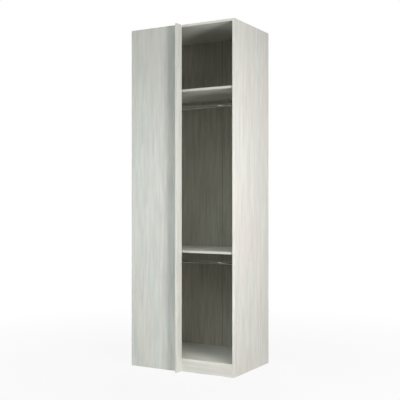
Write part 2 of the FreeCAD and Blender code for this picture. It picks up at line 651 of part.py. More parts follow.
def cam_pattern(label, carrier):
    """A cam for a board of that thickness: a drum with a cavity open towards its bolt, and a driver slot.

    It stands on z = 0, its top is level with the board's face, and the bolt comes in along +X.
    """
    body = stepped(label, (("cam_diameter", DOWEL_SIDES, "0", "cam_height"),))
    cavity = new_sketch(body, f"{label}_cavity", "XY_Plane")
    low = "-cam_mouth / 2"
    add_rectangle(cavity, (low, low), ("(cam_mouth + cam_diameter) / 2 + overrun", "cam_mouth"))
    add_pocket(body, cavity, f"cam_height - ({carrier}) / 2 + cam_mouth / 2", reverse=True)
    slot = new_sketch(body, f"{label}_slot", "XY_Plane", "cam_height")
    slot_size = ("cam_slot_length", "cam_slot_width")
    add_rectangle(slot, [f"-{side} / 2" for side in slot_size], slot_size)
    add_pocket(body, slot, "cam_slot_depth")
    return body


level_cam_pattern = cam_pattern("level_cam_pattern", "board")
blind_cam_pattern = cam_pattern("blind_cam_pattern", "front_board")

# Shelf pin: a peg and a head with a flat on its +Y side, which the shelf rests on
pin_pattern = stepped(
    "shelf_pin_pattern",
    (
        ("pin_head_diameter", DOWEL_SIDES, "0", "pin_reach"),
        ("pin_diameter", SCREW_SIDES, "-pin_depth", "0"),
    ),
)
pin_flat = new_sketch(pin_pattern, "shelf_pin_flat", "XY_Plane")
flat_low = ("-pin_head_diameter / 2 - overrun", "pin_flat")
add_rectangle(pin_flat, flat_low, ("pin_head_diameter + 2 * overrun", "pin_head_diameter"))
add_pocket(pin_pattern, pin_flat, "pin_reach + overrun", reverse=True)


def angle_pattern(label, width):
    """A bent sheet angle with its corner at the origin and legs along +X and +Y, centred on z = 0."""
    body = new_body(label)
    profile = new_sketch(body, f"{label}_profile", "XY_Plane", f"-({width}) / 2")
    leg, metal = "angle_leg", "angle_thickness"
    add_outline(profile, (("0", "0"), (leg, "0"), (leg, metal), (metal, metal), (metal, leg), ("0", leg)))
    blank = add_pad(body, profile, width)
    doc.recompute()

    def is_corner(edge):
        return all(abs(vertex.Point.x) < NEAR and abs(vertex.Point.y) < NEAR for vertex in edge.Vertexes)

    bevel(body, blank, is_corner, "angle_bend")
    return body


def angle_hole_sketch(body, leg):
    """A sketch on the inside of an angle's leg: x runs out along the leg and y up its width."""
    role, offset = {"x": ("XZ_Plane", "overrun"), "y": ("YZ_Plane", "angle_thickness + overrun")}[leg]
    return new_sketch(body, f"{body.Label}_leg_{leg}_holes", role, offset)


angle_cut = "angle_thickness + 2 * overrun"
blind_angle_pattern = angle_pattern("blind_angle_pattern", "angle_width")
for leg in ("x", "y"):
    holes = angle_hole_sketch(blind_angle_pattern, leg)
    add_outline(holes, regular(through_hole, SCREW_SIDES, ("angle_hole", "0")))
    add_pocket(blind_angle_pattern, holes, angle_cut)

# A wall angle has a round hole for the wall's screw in its leg along X, on the back
wall_angle_pattern = angle_pattern("wall_angle_pattern", "wall_angle_width")
wall_hole = angle_hole_sketch(wall_angle_pattern, "x")
add_circle(wall_hole, ("angle_hole", "0"), "wall_hole_diameter")
add_pocket(wall_angle_pattern, wall_hole, angle_cut)
side_holes = angle_hole_sketch(wall_angle_pattern, "y")
for sign in ("", "-"):
    hole_place = ("angle_hole", f"{sign}wall_screw_spread / 2")
    add_outline(side_holes, regular(through_hole, SCREW_SIDES, hole_place))
add_pocket(wall_angle_pattern, side_holes, angle_cut)

# Foot bracket: a plate on the side panel, an arm with a boss round the spindle and two ribs.
# Its x runs from the side panel, its y is centred on the foot and its z is the height above the floor.
ARM_LOW = "(pad_height + nut_height + nut_gap)"
ARM_TOP = f"({ARM_LOW} + boss_height)"
bracket_pattern = new_body("foot_bracket_pattern")
plate = new_sketch(bracket_pattern, "bracket_plate_outline", "YZ_Plane")
add_rectangle(plate, ("-bracket_width / 2", ARM_LOW), ("bracket_width", f"bracket_top - {ARM_LOW}"))
add_pad(bracket_pattern, plate, "bracket_plate")
arm = new_sketch(bracket_pattern, "bracket_arm_outline", "XY_Plane", ARM_LOW)
add_rectangle(arm, ("0", "-boss_diameter / 2"), ("foot_offset", "boss_diameter"))
add_pad(bracket_pattern, arm, "boss_height")
boss = new_sketch(bracket_pattern, "bracket_boss_outline", "XY_Plane", ARM_LOW)
add_outline(boss, regular("boss_diameter", TURNED_SIDES, ("foot_offset", "0")))
add_pad(bracket_pattern, boss, "boss_height")
for name, near_side in (("near", "-boss_diameter / 2"), ("far", "boss_diameter / 2 - bracket_rib")):
    rib = new_sketch(bracket_pattern, f"bracket_rib_{name}", "XZ_Plane", f"-({near_side}) - bracket_rib")
    reach = "bracket_plate + bracket_rib_reach"
    rib_outline = (
        ("0", ARM_LOW),
        (reach, ARM_LOW),
        (reach, ARM_TOP),
        ("bracket_plate", "bracket_top"),
        ("0", "bracket_top"),
    )
    add_outline(rib, rib_outline)
    add_pad(bracket_pattern, rib, "bracket_rib")
spindle_hole = new_sketch(bracket_pattern, "bracket_spindle_hole", "XY_Plane", f"{ARM_LOW} - overrun")
add_outline(spindle_hole, regular("spindle_diameter + thread_play", TURNED_SIDES, ("foot_offset", "0")))
add_pocket(bracket_pattern, spindle_hole, "boss_height + 2 * overrun", reverse=True)
plate_holes = new_sketch(bracket_pattern, "bracket_screw_holes", "YZ_Plane", "bracket_plate + overrun")
for sign in ("", "-"):
    hole_place = (f"{sign}bracket_screw_spread / 2", "bracket_screw_height")
    add_outline(plate_holes, regular(through_hole, SCREW_SIDES, hole_place))
add_pocket(bracket_pattern, plate_holes, "bracket_plate + 2 * overrun")

# Levelling feet: a spindle with a hexagon and a key socket, seated in a tapered pad
SPINDLE_LOW = "(pad_height - pad_socket_depth)"
NUT_TOP = "(pad_height + nut_height)"
for row_name, along in zip(("front", "rear"), FOOT_Y):
    for side_name, across in zip(("left", "right"), FOOT_X):
        place = f"{row_name}_{side_name}"
        spindle = stepped(
            f"levelling_spindle_{place}",
            (
                ("spindle_diameter", DOWEL_SIDES, SPINDLE_LOW, "pad_height"),
                ("nut_flats", SCREW_SIDES, "pad_height", NUT_TOP),
                ("spindle_diameter", TURNED_SIDES, NUT_TOP, "spindle_top"),
            ),
            (across, along, "0"),
        )
        key = new_sketch(spindle, f"spindle_key_{place}", "XY_Plane", "spindle_top")
        add_outline(key, regular("key_flats", SCREW_SIDES))
        add_pocket(spindle, key, "key_depth")

        pad = stepped(
            f"levelling_pad_{place}",
            (("pad_diameter", TURNED_SIDES, "0", "pad_height"),),
            (across, along, "0"),
        )
        doc.recompute()
        top = value("pad_height")
        bevel(pad, pad.Tip, lambda edge: all(vertex.Z > top - NEAR for vertex in edge.Vertexes), "pad_bevel")
        socket = new_sketch(pad, f"pad_socket_{place}", "XY_Plane", "pad_height")
        add_outline(socket, regular("spindle_diameter + pad_socket_play", DOWEL_SIDES))
        add_pocket(pad, socket, "pad_socket_depth")
doc.recompute()

# Groups of like pieces
for name, height in zip(("upper_rail_sockets", "lower_rail_sockets"), RAIL_HEIGHTS):
    places = [at(INNER_LEFT, RAIL_Y, height, TO_RIGHT), at(INNER_RIGHT, RAIL_Y, height, TO_LEFT)]
    copies(name, socket_pattern, places)


def side_screws(label, places, carrier):
    """Screws into both sides, with their heads on a carrier of that thickness."""
    screws = []
    for along, up in places:
        screws.append(at(f"{INNER_LEFT} + {carrier}", along, up, TO_RIGHT))
        screws.append(at(f"{INNER_RIGHT} - {carrier}", along, up, TO_LEFT))
    return copies(label, screw_pattern, screws)


side_screws("rail_socket_screws", socket_screw_places, "socket_flange")
side_screws("foot_bracket_screws", bracket_screw_places, "bracket_plate")
side_screws("wall_angle_screws", wall_screw_places, "angle_thickness")

pins = []
for along, up in shelf_pin_places:
    pins.append(at(INNER_LEFT, along, up, Rotation(Y_AXIS, Z_AXIS, X_AXIS)))
    pins.append(at(INNER_RIGHT, along, up, Rotation(-Y_AXIS, Z_AXIS, -X_AXIS)))
copies("shelf_pins", pin_pattern, pins)

# Cams and cam bolts: one in each cam hole, with its bolt pointing into the board beside it
cams = []
blind_cams = []
bolts = []
caps = []
for level, middle, cam_face in FIXED_LEVELS:
    opens_up = cam_face == "top"
    seat = f"({middle} {'-' if opens_up else '+'} (cam_height - board / 2))"
    for along in CAM_Y:
        for across, end, to_end in ((CAM_X[0], INNER_LEFT, TO_LEFT), (CAM_X[1], INNER_RIGHT, TO_RIGHT)):
            tilt = Rotation() if opens_up else DOWN
            towards_left = TURNED_ROUND if end == INNER_LEFT else Rotation()
            cams.append(at(across, along, seat, towards_left.multiply(tilt)))
            bolts.append(at(end, along, middle, to_end))
            if level is middle_shelf:
                caps.append(at(across, along, "middle_shelf_top - board", DOWN))
for height in POST_CAM_Z:
    blind_cams.append(at(BLIND_CAM_X, f"{FRONT} - cam_height", height, TO_BACK))
    bolts.append(at(POST_LEFT, FRONT_PANEL_Y, height, TO_RIGHT))
    caps.append(at(BLIND_CAM_X, FRONT, height, TO_BACK))
copies("cam_locks", level_cam_pattern, cams)
copies("blind_panel_cam_locks", blind_cam_pattern, blind_cams)
copies("cam_bolts", bolt_pattern, bolts)
copies("cam_caps", cam_cap_pattern, caps)

dowels = []
for along, up in side_dowel_places:
    dowels.append(at(INNER_LEFT, along, up, TO_LEFT))
    dowels.append(at(INNER_RIGHT, along, up, TO_RIGHT))
for along, up in post_dowel_places:
    dowels.append(at(POST_LEFT, along, up, TO_RIGHT))
copies("wooden_dowels", dowel_pattern, dowels)

# Angles of the blind panel: three on the left side, one under the top panel and one on the bottom panel
HANGING = Rotation(Y_AXIS, 90)
STANDING = Rotation(Y_AXIS, -90)
blind_angles = [at(INNER_LEFT, FRONT, height) for height in ANGLE_HEIGHTS]
blind_angles.append(at(BLIND_MIDDLE, FRONT, TOP_UNDERSIDE, HANGING))
blind_angles.append(at(BLIND_MIDDLE, FRONT, FLOOR_TOP, STANDING))
copies("blind_panel_angles", blind_angle_pattern, blind_angles)
angle_screws = [at(across, f"{FRONT} + angle_thickness", up, TO_BACK) for across, up in blind_angle_places]
for along, up in side_angle_places:
    angle_screws.append(at(f"{INNER_LEFT} + angle_thickness", along, up, TO_RIGHT))
across, along = level_angle_place
angle_screws.append(at(across, along, f"{TOP_UNDERSIDE} - angle_thickness", DOWN))
angle_screws.append(at(across, along, f"{FLOOR_TOP} + angle_thickness"))
copies("blind_angle_screws", screw_pattern, angle_screws)

wall_angles = [
    at(INNER_LEFT, BACK_FACE, WALL_ANGLE_Z, Rotation(X_AXIS, -Y_AXIS, -Z_AXIS)),
    at(INNER_RIGHT, BACK_FACE, WALL_ANGLE_Z, TURNED_ROUND),
]
copies("wall_angles", wall_angle_pattern, wall_angles)

back_screws = []
for pair in back_screw_x:
    back_screws += [at(across, f"{REAR} - back_inset", SHELF_MIDDLE, TO_BACK) for across in pair]
copies("back_sheet_screws", screw_pattern, back_screws)

brackets = []
access_caps = []
for along in FOOT_Y:
    brackets.append(at(INNER_LEFT, along, "0"))
    brackets.append(at(INNER_RIGHT, along, "0", TURNED_ROUND))
    access_caps += [at(across, along, FLOOR_TOP) for across in FOOT_X]
copies("foot_brackets", bracket_pattern, brackets)
copies("access_caps", access_cap_pattern, access_caps)

doc.recompute()

# Every object has to be sound, and every cut has to take material away
for item in doc.Objects:
    if "Invalid" in item.State or "Error" in item.State:
        raise RuntimeError(f"{item.Label} failed: {item.State}")
    if item.TypeId == "PartDesign::Pocket" and item.Shape.Volume >= item.BaseFeature.Shape.Volume:
        raise RuntimeError(f"{item.Label} cuts nothing")

# Patterns only lend their shape to the groups
nodes = []
for item in doc.Objects:
    if item.TypeId in ("PartDesign::Body", "Part::Feature") and not item.Label.endswith("_pattern"):
        nodes.append(item)
for node in nodes:
    if node.Shape.isNull() or not node.Shape.isValid():
        raise RuntimeError(f"{node.Label} has no valid shape")

os.makedirs("parts", exist_ok=True)
for node in nodes:
    node.Shape.exportStep(f"parts/{node.Label}.step")
print(f"{len(nodes)} nodes written")
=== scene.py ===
import bmesh
import bpy
import json
import math
from bpy.props import FloatProperty, FloatVectorProperty, PointerProperty
from contextlib import contextmanager
from mathutils import Matrix, Vector
from typing import NamedTuple


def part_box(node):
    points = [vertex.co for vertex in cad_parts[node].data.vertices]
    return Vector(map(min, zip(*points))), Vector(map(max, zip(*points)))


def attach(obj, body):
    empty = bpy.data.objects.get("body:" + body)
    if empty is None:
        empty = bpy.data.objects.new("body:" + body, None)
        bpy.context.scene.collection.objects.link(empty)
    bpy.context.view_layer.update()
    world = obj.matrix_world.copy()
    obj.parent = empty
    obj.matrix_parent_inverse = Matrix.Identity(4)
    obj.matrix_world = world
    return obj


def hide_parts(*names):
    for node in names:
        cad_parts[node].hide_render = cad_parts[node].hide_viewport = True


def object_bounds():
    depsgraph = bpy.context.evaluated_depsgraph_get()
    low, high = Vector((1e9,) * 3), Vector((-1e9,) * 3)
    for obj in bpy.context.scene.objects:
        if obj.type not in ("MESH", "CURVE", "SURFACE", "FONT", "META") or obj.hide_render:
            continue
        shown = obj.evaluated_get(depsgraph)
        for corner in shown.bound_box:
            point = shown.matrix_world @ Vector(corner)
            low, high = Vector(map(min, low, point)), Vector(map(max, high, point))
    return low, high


bl_info = {
    "name": "Corner wardrobe",
    "version": (1, 0, 0),
    "blender": (4, 5, 0),
    "location": "3D View > Sidebar > Wardrobe",
    "description": "Finishes, fittings and studio for the packed corner wardrobe",
    "category": "Object",
}

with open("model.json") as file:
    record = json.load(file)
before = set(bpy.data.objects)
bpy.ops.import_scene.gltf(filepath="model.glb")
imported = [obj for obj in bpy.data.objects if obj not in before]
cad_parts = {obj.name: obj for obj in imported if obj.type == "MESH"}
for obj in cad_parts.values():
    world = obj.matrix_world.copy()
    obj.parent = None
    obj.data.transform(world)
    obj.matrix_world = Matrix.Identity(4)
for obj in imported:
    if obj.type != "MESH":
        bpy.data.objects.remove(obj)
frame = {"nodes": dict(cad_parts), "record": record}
cad_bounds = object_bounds()

RECORD = frame["record"]
BODY_OF = {node: body for body, nodes in RECORD["behaviour"]["bodies"].items() for node in nodes}
FEET = ("front_left", "front_right", "rear_left", "rear_right")
LEVELS = ("upper", "lower")

MM = 0.001
ACROSS, DEEP, UP = 0, 1, 2
AXES = (Vector((1, 0, 0)), Vector((0, 1, 0)), Vector((0, 0, 1)))
RIGHTWARD, BACKWARD, UPWARD = AXES
TUBE_ROUND, ROUND, ROD_ROUND, SMALL_ROUND, HEXAGON = 96, 64, 48, 32, 6
SMOOTH_ANGLE, SHARP_ANGLE = math.radians(32), math.radians(50)
FACING, NEAR = 0.999, 0.01 * MM
WHITE = (1, 1, 1, 1)

# Settings


def tone(red, green, blue):
    """A colour as a screen shows it, from 0 to 255, as the light values that a shader takes."""
    shown = [value / 255 for value in (red, green, blue)]
    return tuple(one / 12.92 if one <= 0.04045 else ((one + 0.055) / 1.055) ** 2.4 for one in shown)


def length(name, description, default):
    """A property for a length."""
    return FloatProperty(
        name=name, description=description, default=default, min=0, subtype="DISTANCE", unit="LENGTH"
    )


def share(name, description, default):
    """A property between nought and one."""
    return FloatProperty(name=name, description=description, default=default, min=0, max=1, subtype="FACTOR")


def power(name, description, default):
    """A property for a lamp's power, in watts."""
    return FloatProperty(name=name, description=description, default=default, min=0, unit="POWER")


def colour(name, description, default):
    """A property for a colour, as light values."""
    return FloatVectorProperty(
        name=name, description=description, default=default, min=0, max=1, subtype="COLOR"
    )


class BoardSettings(bpy.types.PropertyGroup):
    decor: colour("Decor", "Light grey melamine on the boards", tone(214, 213, 207))
    grain_dark: share("Dark grain", "Light that the darkest lines of the grain keep", 0.7)
    back_dark: share("Dark grain of the back", "Light that the darkest lines of the back sheets keep", 0.5)
    grain_cool: colour("Cool stripes", "Tint of the decor's greenish stripes", (0.945, 1.0, 0.98))
    grain_warm: colour("Warm stripes", "Tint of the decor's pinkish stripes", (0.995, 0.985, 0.95))
    band: colour("Edge band", "Edge bands on the boards", tone(224, 222, 212))
    # Painted shade: the shelves' edge bands are the same band as the rest, darkened for the shade inside the
    # opening
    shelf_band_painted_shade: colour("Shelf band", "Edge bands on the two shelves", tone(204, 202, 193))
    # The back sheets carry a darker decor than the boards; part of that darkness is painted shade for the
    # inside of the wardrobe
    back: colour("Back decor", "Inner face of the back sheets", tone(187, 183, 171))
    fibre: colour("Fibreboard", "Bare rear face of the back sheets", tone(150, 113, 78))
    chip: colour("Chipboard", "Cut edges of the boards", tone(190, 160, 118))
    chip_dark: colour("Dark chips", "Darker chips in the cut edges", tone(128, 96, 62))
    beech: colour("Beech", "Wooden dowels", tone(205, 168, 120))
    decor_roughness: share("Decor roughness", "How matt the melamine is", 0.42)
    grain_width: length("Grain width", "Between two fine lines of the grain", 4.5 * MM)
    grain_length: length("Grain length", "How far a fine line of the grain runs", 0.09)
    streak_width: length("Streak width", "Between two soft streaks of the grain", 21 * MM)
    streak_length: length("Streak length", "How far a soft streak of the grain runs", 0.3)
    stripe_width: length("Stripe width", "Between two broad stripes of another tint", 0.11)
    stripe_length: length("Stripe length", "How far a broad stripe runs", 0.75)
    seam: length("Seam", "Bare edge of a back sheet beside the seam", 0.7 * MM)
    foil: length("Decor thickness", "Melamine layer that shows at a cut edge", 0.25 * MM)


class FittingSettings(bpy.types.PropertyGroup):
    chrome: colour("Chrome", "Hanging rails and their sockets", tone(226, 227, 229))
    steel: colour("Zinc plate", "Angles, screws, bolts and spindles", tone(196, 198, 203))
    zinc: colour("Zinc casting", "Cams", tone(180, 181, 184))
    black: colour("Black plastic", "Foot brackets and pads", tone(38, 38, 40))
    light: colour("Light plastic", "Cover caps", tone(219, 216, 208))
    tube_wall: length("Tube wall", "Wall of a hanging rail", 1.5 * MM)
    tube_rim: length("Tube rim", "Rounding on the rims of a hanging rail", 0.3 * MM)
    flange: length("Flange", "Thickness of a socket's flange", 3 * MM)
    flange_rim: length("Flange rim", "Rounding round a socket's flange", 1.3 * MM)
    ring_radius: length("Ring", "Outer radius of a socket's ring", 15.1 * MM)
    ring_wall: length("Ring wall", "Wall of a socket's ring", 2.5 * MM)
    recess: length("Cross recess", "Across a screw's cross recess", 4 * MM)
    recess_width: length("Recess width", "Width of the recess's arms", 0.9 * MM)
    head_height: length("Screw head", "Height of a screw's head", 2 * MM)
    shank_radius: length("Screw shank", "Radius of a screw's shank", 1.75 * MM)
    sheet: length("Angle sheet", "Thickness of an angle bracket", 2 * MM)
    sheet_bend: length("Angle bend", "Outer radius of an angle bracket's bend", 2.6 * MM)
    sheet_corner: length("Angle corner", "Rounding on the corners of an angle bracket", 4 * MM)
    thread_pitch: length("Thread pitch", "Pitch of a levelling spindle's thread", 1.75 * MM)
    thread_depth: length("Thread depth", "Depth of a levelling spindle's thread", 0.75 * MM)
    pad_rim: length("Pad rim", "Rounding round the top of a foot pad", 5 * MM)


class StudioSettings(bpy.types.PropertyGroup):
    camera_place: FloatVectorProperty(
        name="Camera", description="Where the camera stands", default=(2.6934, -4.7051, 1.1809),
        subtype="XYZ", unit="LENGTH",
    )
    camera_turn: FloatProperty(
        name="Camera turn", description="Camera's heading to the left of straight ahead",
        default=math.radians(29.71), subtype="ANGLE", unit="ROTATION",
    )
    camera_lens: FloatProperty(name="Lens", description="Focal length, in millimetres", default=67.67, min=1)
    camera_shift: FloatProperty(
        name="Shift", description="Camera's shift upwards, as a share of the frame", default=0.00195
    )
    right_lamp: power("Right lamp", "Lamp on the right side", 62)
    left_lamp: power("Left lamp", "Lamp in front, on the left", 27.5)
    front_lamp: power("Front lamp", "Wide weak lamp that looks in", 1.2)
    top_lamp: power("Top lamp", "Wide lamp overhead", 30)
    low_lamp: power("Low lamp", "Narrow weak lamp on the foot end", 0.5)
    rear_lamp: power("Rear lamp", "Soft lamp behind", 45)
    fill: share("Fill", "Even light from all round", 0.05)
    floor: colour("Floor", "Plain pale floor", tone(180, 180, 179))


SETTINGS = {
    "wardrobe_boards": BoardSettings,
    "wardrobe_fittings": FittingSettings,
    "wardrobe_studio": StudioSettings,
}

# Materials

# Each material's noise begins this many repeats further on than the last one's
PATTERN_STEP = 6.37

# Values of the noise between which each layer of the decor appears, and its share of the dark tone
STRIPE_RANGE = (0.36, 0.64)
STREAK_RANGE, STREAK_SHARE = (0.34, 0.68), 0.6
LINE_RANGE, LINE_SHARE = (0.36, 0.72), 0.34
PORE_RANGE, PORE_SHARE = (0.62, 0.8), 0.2

# The same for the other patterns, and the share that the finer of two patterns has
CHIP_RANGE, CLOUD_RANGE, FLECK_RANGE = (0.15, 0.85), (0.3, 0.7), (0.4, 0.7)
FINE_SHARE = 0.6

# Repeats in a metre: of pores, along and across the grain, and of the rest, along X, Y and Z
PORES = (34, 900)
FLECKS = (30, 900, 900)
CHIPS, COARSE_CHIPS, FIBRES, FIBRE_CLOUDS = (420,) * 3, (150,) * 3, (240,) * 3, (9,) * 3
METAL_CLOUDS, PLASTIC_CLOUDS, PLASTIC_GRAIN = (60,) * 3, (25,) * 3, (1500,) * 3

# Light that the darker parts of a pattern keep, and how lighter clouds lift a plastic's colour
FIBRE_DARK, FLECK_DARK, METAL_WORN = 0.66, 0.7, 0.86
PLASTIC_GAIN, PLASTIC_LIFT = 1.12, 0.004

# The finish of a zinc-plated screw, pin or spindle
PLATED = {"polish": 0.3, "grit": 0.004 * MM, "grains": 1500}

# What a pattern adds to the roughness, and its height as a share of the relief
GRAIN_ROUGHER, CUT_ROUGHER, FIBRE_ROUGHER = 0.05, 0.45, 0.4
METAL_SPREAD, PLASTIC_SPREAD = 0.4, 0.12
GRAIN_HEIGHT, PORE_HEIGHT, CHIP_HEIGHT, FIBRE_HEIGHT = 0.5, 0.8, 4, 2
WOOD_RELIEF, PLASTIC_RELIEF = 0.05 * MM, 0.02 * MM


def arithmetic(operation, reverse=False):
    """A method of a wire that adds a Math node for the operation."""

    def method(wire, *others):
        values = (*others, wire) if reverse else (wire, *others)
        return wire.nodes.add("ShaderNodeMath", {"operation": operation}, dict(enumerate(values)))["Value"]

    return method


class Wire:
    """A socket among some nodes. Python's arithmetic works on it."""

    def __init__(self, nodes, socket):
        self.nodes = nodes
        self.socket = socket

    __add__ = __radd__ = arithmetic("ADD")
    __mul__ = __rmul__ = arithmetic("MULTIPLY")
    __sub__ = arithmetic("SUBTRACT")
    __rsub__ = arithmetic("SUBTRACT", reverse=True)
    __abs__ = arithmetic("ABSOLUTE")
    __lt__ = arithmetic("LESS_THAN")
    __gt__ = arithmetic("GREATER_THAN")
    larger = arithmetic("MAXIMUM")


class Nodes:
    """The nodes of a material or of the world."""

    def __init__(self, tree):
        self.tree = tree

    def feed(self, socket, given):
        """Links a wire to a socket, or sets the socket to a plain value."""
        if isinstance(given, Wire):
            self.tree.links.new(given.socket, socket)
        elif socket.type == "RGBA" and len(given) == 3:
            socket.default_value = (*given, 1)
        else:
            socket.default_value = given

    def add(self, kind, settings, inputs):
        """Adds a node with these settings, feeds its sockets, by name or number, and returns its outputs."""
        made = self.tree.nodes.new(kind)
        for name, setting in settings.items():
            setattr(made, name, setting)
        for name, given in inputs.items():
            if isinstance(name, int):
                socket = made.inputs[name]
            else:
                socket = next(one for one in made.inputs if one.name == name and one.enabled)
            self.feed(socket, given)
        return {socket.name: Wire(self, socket) for socket in made.outputs if socket.enabled}


class Surface(Nodes):
    """A material that is being built up round its main shader."""

    def __init__(self, name, roughness, metallic=0.0, base=WHITE[:3]):
        self.material = bpy.data.materials.new(name)
        self.material.use_nodes = True
        super().__init__(self.material.node_tree)
        self.shader = self.tree.nodes["Principled BSDF"]
        self.set("Roughness", roughness)
        self.set("Metallic", metallic)
        self.set("Base Color", base)
        self.place = self.add("ShaderNodeTexCoord", {}, {})["Object"]
        self.shift = (PATTERN_STEP * len(bpy.data.materials),) * 3

    def set(self, name, given):
        """Feeds a socket of the main shader."""
        self.feed(self.shader.inputs[name], given)

    def noise(self, repeats, detail=2.0, roughness=0.5, distortion=0.0):
        """Soft noise between 0 and 1, with so many repeats in a metre along each axis."""
        placed = {"Vector": self.place, "Location": self.shift, "Scale": repeats}
        inputs = {
            "Vector": self.add("ShaderNodeMapping", {}, placed)["Vector"],
            "Scale": 1.0, "Detail": detail, "Roughness": roughness, "Distortion": distortion,
        }
        return self.add("ShaderNodeTexNoise", {}, inputs)["Fac"]

    def cells(self, repeats):
        """A random shade for each cell of a pattern, with so many cells in a metre along each axis."""
        stretched = self.add("ShaderNodeMapping", {}, {"Vector": self.place, "Scale": repeats})["Vector"]
        shades = self.add("ShaderNodeTexVoronoi", {}, {"Vector": stretched, "Scale": 1.0})["Color"]
        return self.add("ShaderNodeSeparateColor", {}, {"Color": shades})["Red"]

    def spread(self, given, low, high):
        """The given value between low and high, spread over 0 to 1 and held there."""
        inputs = {"Value": given, "From Min": low, "From Max": high, "To Min": 0.0, "To Max": 1.0}
        return self.add("ShaderNodeMapRange", {"clamp": True}, inputs)["Result"]

    def mixed(self, amount, first, second):
        """The first colour, turning into the second by the amount."""
        inputs = {"Factor": amount, "A": first, "B": second}
        return self.add("ShaderNodeMix", {"data_type": "RGBA"}, inputs)["Result"]

    def along(self, axis):
        """The place along one axis, in metres."""
        return self.add("ShaderNodeSeparateXYZ", {}, {"Vector": self.place})["XYZ"[axis]]

    def bump(self, height, distance):
        """Relief on the surface, with the height as a share of the distance."""
        self.set("Normal", self.add("ShaderNodeBump", {}, {"Height": height, "Distance": distance})["Normal"])


def repeats_along(grain, lengthwise, crosswise):
    """Repeats in a metre for a pattern that runs along one axis."""
    counts = [crosswise] * 3
    counts[grain] = lengthwise
    return counts


def tinted(main, tint):
    """A colour under a tint."""
    return tuple(one * other for one, other in zip(main, tint))


def blended(fine, coarse):
    """Two patterns as one."""
    return fine * FINE_SHARE + coarse * (1 - FINE_SHARE)


def decor_colour(surface, boards, grain, main, darkest):
    """The decor's colour and its height: broad tinted stripes, soft streaks, fine lines and pores."""

    def layer(long, wide, **kind):
        return surface.noise(repeats_along(grain, 1 / long, 1 / wide), **kind)

    stripes = layer(boards.stripe_length, boards.stripe_width, detail=2)
    streaks = layer(boards.streak_length, boards.streak_width, detail=3, roughness=0.6, distortion=0.4)
    fine = layer(boards.grain_length, boards.grain_width, detail=3, roughness=0.6)
    pores = surface.spread(surface.noise(repeats_along(grain, *PORES), detail=1), *PORE_RANGE)
    lines = surface.spread(fine, *LINE_RANGE)
    dark = tinted(main, (darkest,) * 3)
    cool, warm = tinted(main, boards.grain_cool), tinted(main, boards.grain_warm)
    striped = surface.mixed(surface.spread(stripes, *STRIPE_RANGE), cool, warm)
    streaked = surface.mixed(surface.spread(streaks, *STREAK_RANGE) * STREAK_SHARE, striped, dark)
    lined = surface.mixed(lines * LINE_SHARE, streaked, dark)
    return surface.mixed(pores * PORE_SHARE, lined, dark), lines + pores * PORE_HEIGHT


def chipboard_colour(surface, boards):
    """Pressed wood chips, and how high each stands."""
    chips = surface.cells(CHIPS)
    shade = surface.spread(blended(chips, surface.cells(COARSE_CHIPS)), *CHIP_RANGE)
    return surface.mixed(shade, boards.chip, boards.chip_dark), chips


def fibreboard_colour(surface, boards):
    """Pressed wood fibres in soft clouds, and how high they stand."""
    fibres = surface.noise(FIBRES, detail=5, roughness=0.7)
    shade = surface.spread(blended(fibres, surface.noise(FIBRE_CLOUDS, detail=3)), *CLOUD_RANGE)
    return surface.mixed(shade, boards.fibre, tinted(boards.fibre, (FIBRE_DARK,) * 3)), fibres


def board_material(boards, node, grain, thin):
    """Decor on both faces of a board, and bare chipboard in its cut edges and bores."""
    low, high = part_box(node)
    middle, half = (low[thin] + high[thin]) / 2, (high[thin] - low[thin]) / 2
    surface = Surface(f"{node}_decor", boards.decor_roughness)
    cut = abs(surface.along(thin) - middle) < half - boards.foil
    decor, grain_height = decor_colour(surface, boards, grain, boards.decor, boards.grain_dark)
    chipboard, chip_height = chipboard_colour(surface, boards)
    surface.set("Base Color", surface.mixed(cut, decor, chipboard))
    surface.set("Roughness", boards.decor_roughness + cut * CUT_ROUGHER + grain_height * GRAIN_ROUGHER)
    surface.bump(grain_height * (1 - cut) * GRAIN_HEIGHT + chip_height * cut * CHIP_HEIGHT, WOOD_RELIEF)
    return surface.material


def band_material(boards, node, grain, main):
    """Decor all round a thin edge band."""
    surface = Surface(f"{node}_band", boards.decor_roughness)
    decor, grain_height = decor_colour(surface, boards, grain, main, boards.grain_dark)
    surface.set("Base Color", decor)
    surface.set("Roughness", boards.decor_roughness + grain_height * GRAIN_ROUGHER)
    surface.bump(grain_height * GRAIN_HEIGHT, WOOD_RELIEF)
    return surface.material


def sheet_material(boards, node):
    """Decor on the inner face of a thin sheet, and bare fibreboard behind and along the seam."""
    low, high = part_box(node)
    surface = Surface(f"{node}_sheet", boards.decor_roughness)
    seam = min((low.x, high.x), key=abs)
    at_seam = abs(surface.along(ACROSS) - seam) < boards.seam
    bare = (surface.along(DEEP) > low.y + boards.foil).larger(at_seam)
    # The back decor's darker tone is partly painted shade for the inside of the wardrobe
    decor, grain_height = decor_colour(surface, boards, UP, boards.back, boards.back_dark)
    fibreboard, fibre_height = fibreboard_colour(surface, boards)
    surface.set("Base Color", surface.mixed(bare, decor, fibreboard))
    surface.set("Roughness", boards.decor_roughness + bare * FIBRE_ROUGHER)
    surface.bump(grain_height * (1 - bare) * GRAIN_HEIGHT + fibre_height * bare * FIBRE_HEIGHT, WOOD_RELIEF)
    return surface.material


def beech_material(boards, roughness):
    """Beech with short dark flecks along the dowels."""
    surface = Surface("beech_dowels", roughness)
    flecks = surface.noise(FLECKS, detail=2)
    dark = tinted(boards.beech, (FLECK_DARK,) * 3)
    surface.set("Base Color", surface.mixed(surface.spread(flecks, *FLECK_RANGE), boards.beech, dark))
    surface.bump(flecks, WOOD_RELIEF)
    return surface.material


